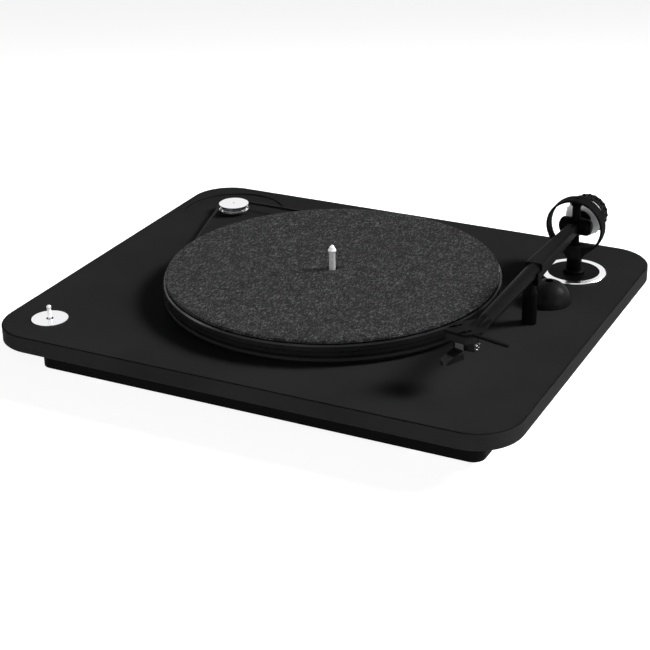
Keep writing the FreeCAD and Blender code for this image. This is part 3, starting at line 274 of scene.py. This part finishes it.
# %% [markdown]
# ## Finishes
# Most finishes share the same layers: a base colour that wanders a little, a roughness that wanders
# with it, and a fine bump. What changes is the scale and the amount of each. Object coordinates are
# in metres here, so a noise scale of 1000 gives grains of about a millimetre. Black paint mirrors
# very little, so its specular level is low: a higher one would turn it grey under a white sky.


# %% A layered finish
TWO_NOISES = (0.6, 1.4)  # the range in which two noises added together mostly lie
GRAIN_RELIEF = 0.2 * MM
ROUGH_SWING = 0.15


def finish(name, colour, rough, grain, wander, bump, cloud=18.0, metallic=0.0, specular=0.5,
           transmission=0.0):
    """Principled finish: colour and roughness mixed by coarse and fine noise, and a fine bump."""
    material, tree = new_material(name)
    place = add(tree, "ShaderNodeTexCoord").outputs["Object"]
    fine = add(tree, "ShaderNodeTexNoise", {"Vector": place, "Scale": grain, "Detail": 3.0})
    broad = add(tree, "ShaderNodeTexNoise", {"Vector": place, "Scale": cloud, "Detail": 4.0})
    both = calculate(tree, "ADD", fine.outputs["Fac"], broad.outputs["Fac"])
    tint = spread(tree, both, *TWO_NOISES, 0.0, 1.0)
    shade = blend_colours(tree, tint, [c * (1 - wander) for c in colour],
                          [min(1.0, c * (1 + wander)) for c in colour])
    gloss = spread(tree, both, *TWO_NOISES, rough * (1 - ROUGH_SWING),
                   min(1.0, rough * (1 + ROUGH_SWING)))
    relief = add(tree, "ShaderNodeBump", {"Strength": bump, "Distance": GRAIN_RELIEF,
                                          "Height": fine.outputs["Fac"]})
    body = add(tree, "ShaderNodeBsdfPrincipled",
               {"Base Color": shade, "Roughness": gloss, "Normal": relief.outputs[0],
                "Metallic": metallic, "Specular IOR Level": specular,
                "Transmission Weight": transmission})
    close(tree, body.outputs[0])
    return material


# %% [markdown]
# ## The deck's lacquer
# The board is black lacquer over fibreboard: a faint orange-peel grain, soft cloudy patches where
# hands have polished it, and specks of dust. A thin dark line along the eased rim between the top
# and the side is painted shade, standing for the edge turned away from the light. The rim is found
# by height alone: it is the last 0.6 mm below the deck's top.


# %% Deck lacquer
RIM_HEIGHT = 0.6 * MM
TOP_MARGIN = 0.04 * MM
DUST_COLOUR = (0.035, 0.035, 0.036)
LACQUER_NOISES = (0.65, 1.35)


def lacquer(name, body_colour, rim_shade_colour):
    """Satin lacquer; the rim's painted shade colour shows from RIM_HEIGHT to TOP_MARGIN below the
    deck's top.
    """
    material, tree = new_material(name)
    place = add(tree, "ShaderNodeTexCoord").outputs["Object"]
    peel = add(tree, "ShaderNodeTexNoise", {"Vector": place, "Scale": 1500.0, "Detail": 4.0,
                                            "Roughness": 0.65})
    cloud = add(tree, "ShaderNodeTexNoise", {"Vector": place, "Scale": 9.0, "Detail": 3.0})
    dust = add(tree, "ShaderNodeTexVoronoi", {"Vector": place, "Scale": 420.0})
    mixed = calculate(tree, "ADD", peel.outputs["Fac"], cloud.outputs["Fac"])
    tint = spread(tree, mixed, *LACQUER_NOISES, 0.0, 1.0)
    shade = blend_colours(tree, tint, [c * 0.72 for c in body_colour],
                          [c * 1.28 for c in body_colour])
    speck = spread(tree, dust.outputs["Distance"], 0.0, 0.07, 0.35, 0.0)
    shade = blend_colours(tree, speck, shade, DUST_COLOUR)
    level = add(tree, "ShaderNodeSeparateXYZ", {"Vector": place}).outputs["Z"]
    # painted shade: the eased rim band just below the deck's top takes the dark rim colour
    above = calculate(tree, "GREATER_THAN", level, deck_top - RIM_HEIGHT)
    below = calculate(tree, "LESS_THAN", level, deck_top - TOP_MARGIN)
    shade = blend_colours(tree, calculate(tree, "MULTIPLY", above, below), shade, rim_shade_colour)
    gloss = spread(tree, mixed, *LACQUER_NOISES, 0.44, 0.58)
    relief = add(tree, "ShaderNodeBump", {"Strength": 0.12, "Distance": GRAIN_RELIEF,
                                          "Height": peel.outputs["Fac"]})
    body = add(tree, "ShaderNodeBsdfPrincipled",
               {"Base Color": shade, "Roughness": gloss, "Normal": relief.outputs[0],
                "Specular IOR Level": 0.002})
    close(tree, body.outputs[0])
    return material


# the second colour is the rim's painted shade
deck_lacquer = lacquer("deck_lacquer", (0.0190, 0.0190, 0.0193), (0.0040, 0.0040, 0.0040))
print("deck lacquer, nodes:", len(deck_lacquer.node_tree.nodes))

# %% [markdown]
# ## Turned metal
# A lathe leaves fine rings about its axis. The distance from the axis, fed to a one-dimensional
# noise, gives rings that vary in brightness and height, and a second noise stops them from looking
# printed. A piece that should stay pale where it mirrors something dark is only partly metallic.


# %% Turned silver
SILVER = (0.93, 0.93, 0.94)
ABOUT_Z = (1, 1, 0)
ABOUT_Y = (1, 0, 1)
LATHE_RELIEF = 0.1 * MM
LATHE_PATCH = 160.0


def turned(name, colour, centre, across, rough=0.2, ring=2600.0, ring_bump=0.15, metallic=1.0):
    """Metal with lathe rings: the noise reads the distance from centre over the axes in across."""
    material, tree = new_material(name)
    place = add(tree, "ShaderNodeTexCoord").outputs["Object"]
    moved = add(tree, "ShaderNodeMapping",
                {"Vector": place, "Location": [-c for c in centre]}).outputs[0]
    flat = add(tree, "ShaderNodeVectorMath", {0: moved, 1: across}, operation="MULTIPLY").outputs[0]
    reach = add(tree, "ShaderNodeVectorMath", {0: flat}, operation="LENGTH").outputs["Value"]
    rings = add(tree, "ShaderNodeTexNoise", {"W": reach, "Scale": ring, "Detail": 2.0},
                noise_dimensions="1D")
    patch = add(tree, "ShaderNodeTexNoise", {"Vector": place, "Scale": LATHE_PATCH, "Detail": 4.0})
    shade = blend_colours(tree, rings.outputs["Fac"], [c * 0.86 for c in colour], colour)
    both = calculate(tree, "ADD", rings.outputs["Fac"], patch.outputs["Fac"])
    gloss = spread(tree, both, *TWO_NOISES, rough * 0.75, rough * 1.3)
    relief = add(tree, "ShaderNodeBump", {"Strength": ring_bump, "Distance": LATHE_RELIEF,
                                          "Height": rings.outputs["Fac"]})
    body = add(tree, "ShaderNodeBsdfPrincipled",
               {"Base Color": shade, "Roughness": gloss, "Normal": relief.outputs[0],
                "Metallic": metallic})
    close(tree, body.outputs[0])
    return material


switch_silver = turned("switch_silver", SILVER, middle("switch_disc"), ABOUT_Z)
pulley_silver = turned("pulley_silver", SILVER, middle("drive_pulley"), ABOUT_Z)
trim_silver = turned("trim_silver", SILVER, middle("arm_trim_ring"), ABOUT_Z)
dial_silver = turned("dial_silver", SILVER, pivot, ABOUT_Y, rough=0.3, metallic=0.2)
bright_steel = turned("bright_steel", (0.86, 0.86, 0.87), middle("spindle"), ABOUT_Z, rough=0.25,
                      ring=900.0, ring_bump=0.05, metallic=0.5)
lever_steel = turned("lever_steel", (0.90, 0.90, 0.91), middle("toggle_lever"), ABOUT_Z,
                     ring=900.0, ring_bump=0.05, metallic=0.4)
print("turned silver, nodes:", len(switch_silver.node_tree.nodes))

# %% [markdown]
# ## The platter's rim
# The platter is dark anodised metal. Its side carries turned bands with dark lines between them,
# and the bevel at the top is a dim bare metal. The bands low down are darker than higher up: painted
# shade for the lower side, which sits in shadow just above the deck. Each band is found by its height
# above the platter's underside, with a lathe's fine lines on top.


# %% Platter rim
LINE_COLOUR = (0.002, 0.002, 0.002)
BEVEL_START = 0.895  # share of the platter's height
LOW_BAND_PAINTED_SHADE = 0.45


def anodised(name, base, band, bevel, bottom, top):
    """Dark metal in level bands: each stop is a share of the height and the colour above it."""
    material, tree = new_material(name)
    place = add(tree, "ShaderNodeTexCoord").outputs["Object"]
    level = add(tree, "ShaderNodeSeparateXYZ", {"Vector": place}).outputs["Z"]
    height = spread(tree, level, bottom, top, 0.0, 1.0)
    # painted shade: the lowest bands take a darkened copy of the base colour
    low_shaded_band = [c * LOW_BAND_PAINTED_SHADE for c in base]
    stops = ((0.0, low_shaded_band), (0.08, LINE_COLOUR), (0.12, low_shaded_band), (0.36, LINE_COLOUR),
             (0.42, base), (0.60, LINE_COLOUR), (0.66, band), (0.86, LINE_COLOUR),
             (BEVEL_START, bevel))
    ramp = add(tree, "ShaderNodeValToRGB", {0: height})
    ramp.color_ramp.interpolation = "CONSTANT"
    steps = ramp.color_ramp.elements
    for index, (share, colour) in enumerate(stops):
        step = steps[0] if index == 0 else steps.new(share)
        step.position = share
        step.color = (*colour, 1)
    steps.remove(steps[-1])
    lines = add(tree, "ShaderNodeTexNoise", {"W": level, "Scale": 3000.0, "Detail": 2.0},
                noise_dimensions="1D")
    worn = add(tree, "ShaderNodeTexNoise", {"Vector": place, "Scale": 60.0, "Detail": 3.0})
    shade = blend_colours(tree, spread(tree, lines.outputs["Fac"], 0.3, 0.7, 0.0, 0.35),
                          ramp.outputs["Color"], LINE_COLOUR)
    gloss = spread(tree, worn.outputs["Fac"], 0.3, 0.7, 0.24, 0.36)
    bare = calculate(tree, "GREATER_THAN", height, BEVEL_START)
    relief = add(tree, "ShaderNodeBump", {"Strength": 0.2, "Distance": LATHE_RELIEF,
                                          "Height": lines.outputs["Fac"]})
    body = add(tree, "ShaderNodeBsdfPrincipled",
               {"Base Color": shade, "Roughness": gloss, "Normal": relief.outputs[0],
                "Metallic": bare, "Specular IOR Level": 0.08})
    close(tree, body.outputs[0])
    return material


platter_rim = anodised("platter_rim", (0.008, 0.008, 0.0085), (0.0090, 0.0090, 0.0095),
                       (0.022, 0.022, 0.023), low("platter")[2], high("platter")[2])
print("platter rim, nodes:", len(platter_rim.node_tree.nodes))

# %% [markdown]
# ## The black finishes
# The arm, its pivot, the slab and the small parts are all black, and each is a black of its own:
# satin on the tube, duller on the hoop, deep on the pivot, moulded on the slab, and smoother on
# the dome and the cartridge. One black for all would melt them together.

# %% Black finishes
arm_satin = finish("arm_satin", (0.0036, 0.0036, 0.0038), 0.40, grain=1900, wander=0.2,
                   bump=0.05, cloud=40, specular=0.012)
hoop_black = finish("hoop_black", (0.0072, 0.0072, 0.0075), 0.60, grain=1900, wander=0.25,
                    bump=0.08, cloud=60, specular=0.004)
pivot_black = finish("pivot_black", (0.0022, 0.0022, 0.0024), 0.45, grain=1600, wander=0.2,
                     bump=0.05, cloud=40, specular=0.012)
slab_black = finish("slab_black", (0.0032, 0.0032, 0.0034), 0.62, grain=1500, wander=0.25,
                    bump=0.25, cloud=30, specular=0.02)
part_black = finish("part_black", (0.010, 0.010, 0.010), 0.45, grain=1500, wander=0.25,
                    bump=0.2, cloud=30, specular=0.1)
dome_black = finish("dome_black", (0.0075, 0.0075, 0.0078), 0.40, grain=900, wander=0.2,
                    bump=0.03, cloud=25, specular=0.03)
cartridge_black = finish("cartridge_black", (0.005, 0.005, 0.0052), 0.22, grain=700, wander=0.2,
                         bump=0.03, cloud=60, specular=0.08)
blackened_steel = finish("blackened_steel", (0.0015, 0.0015, 0.0015), 0.45, grain=1200,
                         wander=0.15, bump=0.1, cloud=60, specular=0.01)
print("black finishes made:", len(bpy.data.materials), "materials so far")

# %% [markdown]
# ## Metals, rubber and plastic
# Plated steel, bronze and gold are metals with a grain. The feet and leads are dull rubber, and the
# belt is a finer one. The stylus unit is a pale moulded grey, and its guard is smoked plastic that
# lets a little light through.

# %% Metals, rubber and plastic
plated_steel = finish("plated_steel", (0.50, 0.50, 0.51), 0.3, grain=1200, wander=0.15, bump=0.1,
                      cloud=60, metallic=1.0)
bronze = finish("bronze", (0.55, 0.36, 0.14), 0.35, grain=800, wander=0.15, bump=0.08,
                metallic=1.0)
gold_plate = finish("gold_plate", (0.83, 0.60, 0.22), 0.2, grain=900, wander=0.08, bump=0.03,
                    metallic=1.0)
pin_silver = finish("pin_silver", (0.90, 0.90, 0.90), 0.25, grain=900, wander=0.05, bump=0.03,
                    metallic=1.0)
foot_rubber = finish("foot_rubber", (0.008, 0.008, 0.008), 0.8, grain=1400, wander=0.3,
                     bump=0.35, specular=0.05)
belt_rubber = finish("belt_rubber", (0.013, 0.013, 0.0135), 0.5, grain=3000, wander=0.25,
                     bump=0.15, specular=0.05)
board_green = finish("board_green", (0.015, 0.12, 0.05), 0.35, grain=1500, wander=0.2, bump=0.15)
stylus_grey = finish("stylus_grey", (0.030, 0.030, 0.031), 0.35, grain=1200, wander=0.12,
                     bump=0.06)
smoked = finish("smoked", (0.010, 0.010, 0.0105), 0.12, grain=900, wander=0.1, bump=0.03,
                specular=0.04, transmission=0.15)
print("metals and plastics made:", len(bpy.data.materials), "materials so far")

# %% [markdown]
# ## Who wears what
# The frame's solids arrive with plain finishes. One table gives each finish the solids that wear
# it, so a finish can be changed for all of them in one place.

# %% Who wears what
FINISHES = {
    deck_lacquer: ("plinth_board",),
    slab_black: ("base_tray", "rear_panel"),
    part_black: ("motor_mount", "board_parts", "power_inlet", "switch_body"),
    arm_satin: ("arm_tube", "arm_rear_sleeve", "headshell", "finger_lift", "rest_cradle"),
    hoop_black: ("hoop_yoke",),
    pivot_black: ("arm_base_disc", "arm_pillar", "pivot_axle", "pivot_barrel", "barrel_caps",
                  "counterweight_stub", "rest_post"),
    platter_rim: ("platter",),
    cartridge_black: ("cartridge_body",),
    dome_black: ("adapter_dome",),
    pulley_silver: ("drive_pulley",),
    switch_silver: ("switch_disc",),
    trim_silver: ("arm_trim_ring",),
    dial_silver: ("counterweight_dial",),
    bright_steel: ("spindle",),
    lever_steel: ("toggle_lever",),
    pin_silver: ("cartridge_pins", "ground_terminal"),
    blackened_steel: ("lower_pivot_bearing", "upper_pivot_bearing", "cartridge_screws"),
    plated_steel: ("base_screws", "foot_screws", "bearing_housing", "bearing_nut", "motor_can",
                   "motor_screws", "motor_shaft", "board_screws", "arm_base_nut", "tilt_pin",
                   "rest_nut", "thrust_ball"),
    bronze: ("bearing_bush",),
    gold_plate: ("phono_sockets",),
    foot_rubber: ("feet", "motor_lead", "switch_lead", "power_lead", "phono_leads"),
    belt_rubber: ("drive_belt",),
    board_green: ("control_board",),
    stylus_grey: ("stylus_unit",),
    smoked: ("stylus_guard",),
}
for material, wearers in FINISHES.items():
    for node in wearers:
        mesh = nodes[node].data
        mesh.materials.clear()
        mesh.materials.append(material)
print("finishes:", len(FINISHES))

# %% [markdown]
# ## A closed ring of surface
# The felt mat and the counterweight are both rings: a profile is carried once round an axis, and
# the profile itself is a closed loop. On a grid of loop steps by turn steps, every cell is a
# four-sided face and there are no poles, so one helper serves both.


# %% Ring surfaces
def ring_surface(name, grid, body):
    """Mesh from a grid of points (loop step, turn step, xyz) that closes on itself both ways.

    Each face joins step k to k + 1 round the loop and step s to s + 1 round the turn. The signed
    volume, a sixth of the sum of the corner products, tells whether the faces point outwards.
    """
    steps, turns = grid.shape[:2]
    index = np.arange(steps * turns).reshape(steps, turns)
    after = np.roll(index, -1, axis=0)
    quads = np.stack([index, np.roll(index, -1, axis=1), np.roll(after, -1, axis=1), after],
                     axis=-1).reshape(-1, 4)
    points = grid.reshape(-1, 3)
    a, b, c, d = (points[quads[:, i]] for i in range(4))
    products = np.einsum("ij,ij->i", a, np.cross(b, c)) + np.einsum("ij,ij->i", a, np.cross(c, d))
    volume = products.sum() / 6
    if volume < 0:
        quads = quads[:, ::-1]
    piece = new_object(name, points.tolist(), quads.tolist())
    piece.data.shade_smooth()
    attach(piece, body)
    print(name, len(quads), "faces, volume", round(abs(volume) * 1e9), "mm3")
    return piece


# %% [markdown]
# ## Felt
# Pressed wool felt is a mat of short pale and dark hairs. Three noises make it: patches a
# centimetre wide where the wool is thicker, a noise drawn out along the nap and bent out of line
# for the hairs, and a fine grain at half strength. Hairs and grain together drive the bump and,
# with the patches, the colour, so that pale hairs stand proud and catch the light.


# %% Felt finish
PATCH_SCALE, PATCH_SHARE = 90.0, 0.2
NAP_SCALE, NAP_STRETCH = 640.0, (1.0, 0.42, 1.0)
GRAIN_SCALE, GRAIN_SHARE = 1500.0, 0.5
DARK_TO_MID = (0.78, 0.90)
MID_TO_PALE = (0.89, 1.04)


def felt_finish(name, dark, mid, pale):
    """Mottled, fibrous felt: dark between the hairs, pale along them."""
    material, tree = new_material(name)
    place = add(tree, "ShaderNodeTexCoord").outputs["Object"]
    patch = add(tree, "ShaderNodeTexNoise", {"Vector": place, "Scale": PATCH_SCALE, "Detail": 3.0})
    nap = add(tree, "ShaderNodeMapping", {"Vector": place, "Scale": NAP_STRETCH}).outputs[0]
    hair = add(tree, "ShaderNodeTexNoise", {"Vector": nap, "Scale": NAP_SCALE, "Detail": 3.0,
                                            "Roughness": 0.6, "Distortion": 1.2})
    grain = add(tree, "ShaderNodeTexNoise", {"Vector": place, "Scale": GRAIN_SCALE, "Detail": 3.0,
                                             "Roughness": 0.75, "Distortion": 0.6})
    fine = calculate(tree, "MULTIPLY", grain.outputs["Fac"], GRAIN_SHARE)
    both = calculate(tree, "ADD", hair.outputs["Fac"], fine)
    weight = calculate(tree, "MULTIPLY", patch.outputs["Fac"], PATCH_SHARE)
    total = calculate(tree, "ADD", both, weight)
    shade = blend_colours(tree, spread(tree, total, *DARK_TO_MID, 0.0, 1.0), dark, mid)
    shade = blend_colours(tree, spread(tree, total, *MID_TO_PALE, 0.0, 1.0), shade, pale)
    relief = add(tree, "ShaderNodeBump", {"Strength": 0.55, "Distance": 0.5 * MM, "Height": both})
    body = add(tree, "ShaderNodeBsdfPrincipled",
               {"Base Color": shade, "Roughness": 0.95, "Normal": relief.outputs[0],
                "Specular IOR Level": 0.08, "Sheen Weight": 0.05, "Sheen Roughness": 0.5})
    close(tree, body.outputs[0])
    return material


felt = felt_finish("felt", (0.003, 0.003, 0.0031), (0.019, 0.019, 0.0194), (0.118, 0.118, 0.121))
print("felt, nodes:", len(felt.node_tree.nodes))

# %% [markdown]
# ## The felt mat
# The mat is a thin round cloth with a hole for the spindle. Its cut edge is soft and a little
# uneven, and its face isn't quite flat. Each point starts on a plain rounded profile, and smooth
# waves round the turn move the rim in and out by a quarter of a millimetre and the face up and down
# by less than a tenth. Both start a little inside the solid, so no wave leaves its box.

# %% Felt mat
mat_low, mat_high = low("felt_mat"), high("felt_mat")
mat_centre = middle("felt_mat")
mat_radius = (mat_high[0] - mat_low[0]) / 2
mat_thick = mat_high[2] - mat_low[2]
TURNS = 720
UNDER_STEPS, EDGE_STEPS, FACE_STEPS = 5, 9, 25
HOLE = 3.9 * MM
EDGE_WIDTH = 3 * MM
RAG, RAG_INSET, RAG_WAVES = 0.12 * MM, 0.13 * MM, (20, 170, 24)
SWELL, SWELL_INSET, SWELL_WAVES = 0.04 * MM, 0.06 * MM, (2, 9, 6)
SWELL_ALONG = 90  # radians of wave per metre of radius
rng = np.random.default_rng(7)


def waves(angle, lowest, highest, count):
    """Sum of count cosines with whole wave numbers from lowest up, scaled to about 1."""
    numbers = rng.integers(lowest, highest, count)
    phases = rng.uniform(0, 2 * math.pi, count)
    return np.cos(np.outer(numbers, angle) + phases[:, None]).sum(axis=0) / math.sqrt(count)


def felt_grid():
    """Profile out along the underside, round the soft rim, back over the face to the hole.

    A point's reach is the profile's radius plus ragged waves, which fade in over EDGE_WIDTH. Its
    rise is the profile's height plus, on the face, waves round the turn times a sine outwards.
    """
    turn = np.linspace(0, 2 * math.pi, TURNS, endpoint=False)
    bend = np.linspace(-math.pi / 2, math.pi / 2, EDGE_STEPS)
    soft = mat_thick / 2
    flat_radius = mat_radius - soft
    out = np.concatenate([np.linspace(HOLE, flat_radius, UNDER_STEPS + 1)[:-1],
                          flat_radius + soft * np.cos(bend),
                          np.linspace(flat_radius, HOLE, FACE_STEPS + 1)[1:]])
    lift = np.concatenate([np.zeros(UNDER_STEPS), soft + soft * np.sin(bend),
                           np.full(FACE_STEPS, mat_thick)])
    edge = np.clip((out - mat_radius + EDGE_WIDTH) / EDGE_WIDTH, 0, 1)
    ragged = waves(turn, *RAG_WAVES) * RAG - RAG_INSET
    reach = out[:, None] + edge[:, None] * ragged[None, :]
    swell = waves(turn, *SWELL_WAVES)[None, :] * np.sin(out[:, None] * SWELL_ALONG) * SWELL
    rise = lift[:, None] + np.where(lift[:, None] > soft, swell - SWELL_INSET, 0)
    return np.stack([mat_centre[0] + reach * np.cos(turn), mat_centre[1] + reach * np.sin(turn),
                     mat_low[2] + rise], axis=-1)


mat_piece = ring_surface("mat_cloth", felt_grid(), "mat")
mat_piece.data.materials.append(felt)
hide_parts("felt_mat")

# %% [markdown]
# ## Loose hairs on the felt
# Fifteen thousand short pale hairs are rooted in the face. Some lie flat and others rise steeply,
# most head roughly along the nap, and those near the edge reach over it. Each is a thin bent
# spindle of eight points: a tip, two rings of three, and a tip. All are worked out at once as
# arrays, since a particle system would hide the same numbers in its settings.


# %% Loose hairs
HAIRS = 15000
HAIR_INSET = 0.9 * MM
ROOT_DEPTH = 0.10 * MM
NAP_HEADING, NAP_SCATTER = math.pi / 2, 0.8
STEEPEST = 1.1  # radians above the face
SHORTEST, LONGEST = 0.9, 2.6  # millimetres, as are the next two
MOST_BENT = 0.6
THINNEST, THICKEST = 0.05, 0.11
HAIR_STATIONS = ((-0.5, "tip"), (-0.18, "ring"), (0.18, "ring"), (0.5, "tip"))
RING_CORNERS = (math.pi / 2, math.pi * 7 / 6, math.pi * 11 / 6)
HAIR_FACES = np.array([(0, 2, 1), (0, 3, 2), (0, 1, 3), (1, 2, 5), (1, 5, 4), (2, 3, 6),
                       (2, 6, 5), (3, 1, 4), (3, 4, 6), (4, 5, 7), (5, 6, 7), (6, 4, 7)])


def hair_points(count):
    """Bent spindles: place, heading, tilt, length, bend and thickness are drawn at random.

    At a share of the length from the middle, the spine is the root, plus the heading times the
    length times the share, plus a sideways bend that fades to nothing at both tips.
    """
    spread_out = np.sqrt(rng.uniform(0.002, 1.0, count)) * (mat_radius - HAIR_INSET)
    angle = rng.uniform(0, 2 * math.pi, count)
    root = np.stack([mat_centre[0] + spread_out * np.cos(angle),
                     mat_centre[1] + spread_out * np.sin(angle),
                     np.full(count, mat_high[2] - ROOT_DEPTH)], axis=-1)
    heading = rng.normal(NAP_HEADING, NAP_SCATTER, count)
    tilt = rng.uniform(0.0, STEEPEST, count)
    along = np.stack([np.cos(heading) * np.cos(tilt), np.sin(heading) * np.cos(tilt),
                      np.sin(tilt)], axis=-1)
    side = np.stack([-np.sin(heading), np.cos(heading), np.zeros(count)], axis=-1)
    length = rng.uniform(SHORTEST, LONGEST, count)[:, None] * MM
    bend = rng.uniform(-MOST_BENT, MOST_BENT, count)[:, None] * MM
    thick = rng.uniform(THINNEST, THICKEST, count)[:, None] * MM
    upwards = np.array([0, 0, 1])
    stations = []
    for share, kind in HAIR_STATIONS:
        spine = root + along * length * share + side * bend * (1 - 4 * share * share)
        if kind == "tip":
            stations.append(spine[:, None, :])
            continue
        ring = [spine + thick * (side * math.cos(corner) + upwards * math.sin(corner))
                for corner in RING_CORNERS]
        stations.append(np.stack(ring, axis=1))
    return np.concatenate(stations, axis=1)


hairs = hair_points(HAIRS)
faces = HAIR_FACES[None] + hairs.shape[1] * np.arange(HAIRS)[:, None, None]
hair_piece = new_object("mat_hairs", hairs.reshape(-1, 3).tolist(), faces.reshape(-1, 3).tolist())
hair_piece.data.materials.append(finish("wool_hair", (0.100, 0.100, 0.102), 0.9, grain=500,
                                        wander=0.5, bump=0.1, cloud=300, specular=0.1))
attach(hair_piece, "mat")
print("hairs:", len(hairs))

# %% [markdown]
# ## The knurled counterweight
# The weight is gripped and turned by hand, so its rim is cut into rounded ridges, with a plain
# groove between the weight and its rear cap. A profile carried round the axis gives both at once,
# where cutting twenty grooves one by one would take a tool for each.

# %% Counterweight
weight_low, weight_high = low("counterweight_body"), high("counterweight_cap")
weight_radius = (high("counterweight_body")[0] - weight_low[0]) / 2
weight_span = weight_high[1] - weight_low[1]
RIDGES, STEPS_PER_RIDGE, RIM_STEPS = 20, 16, 25
RIDGE_DEPTH = 1.5 * MM
RIDGE_FADE = 0.12  # share of the weight's length, as are the groove's place and width
GROOVE_DEPTH, GROOVE_PLACE, GROOVE_WIDTH = 0.9 * MM, 0.58, 0.035
BORE = 5.05 * MM
RIM_EASE = 0.9 * MM
FACE_EDGE = 2.2 * MM
RIM_MARGIN = 0.1 * MM


def weight_grid():
    """Loop up the front face, back along the knurled rim, down the rear face and through the bore.

    On the rim, the reach is the full radius, less a cosine cut that repeats with each ridge and
    fades out at both ends, less a bell-shaped groove about GROOVE_PLACE.
    """
    turn = np.linspace(0, 2 * math.pi, RIDGES * STEPS_PER_RIDGE, endpoint=False)
    rim = np.linspace(0, 1, RIM_STEPS)
    face = [BORE, weight_radius * 0.5, weight_radius - FACE_EDGE, weight_radius - RIM_EASE]
    radii = np.concatenate([face, np.full(RIM_STEPS, weight_radius), face[::-1]])
    along = np.concatenate([[0] * len(face), RIM_EASE + rim * (weight_span - 2 * RIM_EASE),
                            [weight_span] * len(face)])
    share = along / weight_span
    inside = np.where(radii > weight_radius - RIM_MARGIN, 1.0, 0.0)
    fade = np.clip(np.minimum(share, 1 - share) / RIDGE_FADE, 0, 1)
    split = np.exp(-((share - GROOVE_PLACE) / GROOVE_WIDTH) ** 2) * GROOVE_DEPTH
    ridge = 0.5 - 0.5 * np.cos(RIDGES * turn)
    cut = ridge[None, :] * (fade * inside * RIDGE_DEPTH)[:, None]
    reach = radii[:, None] - cut - (split * inside)[:, None]
    return np.stack([pivot[0] + reach * np.cos(turn),
                     np.broadcast_to((weight_low[1] + along)[:, None], reach.shape),
                     pivot[2] + reach * np.sin(turn)], axis=-1)


weight_piece = ring_surface("counterweight", weight_grid(), "weight")
weight_piece.data.materials.append(finish("weight_black", (0.0013, 0.0013, 0.0014), 0.3,
                                          grain=1400, wander=0.3, bump=0.3, cloud=120,
                                          specular=0.015))
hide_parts("counterweight_body", "counterweight_cap")

# %% [markdown]
# ## The end
# The looks mustn't change the player's size.

# %% The end
print("done")
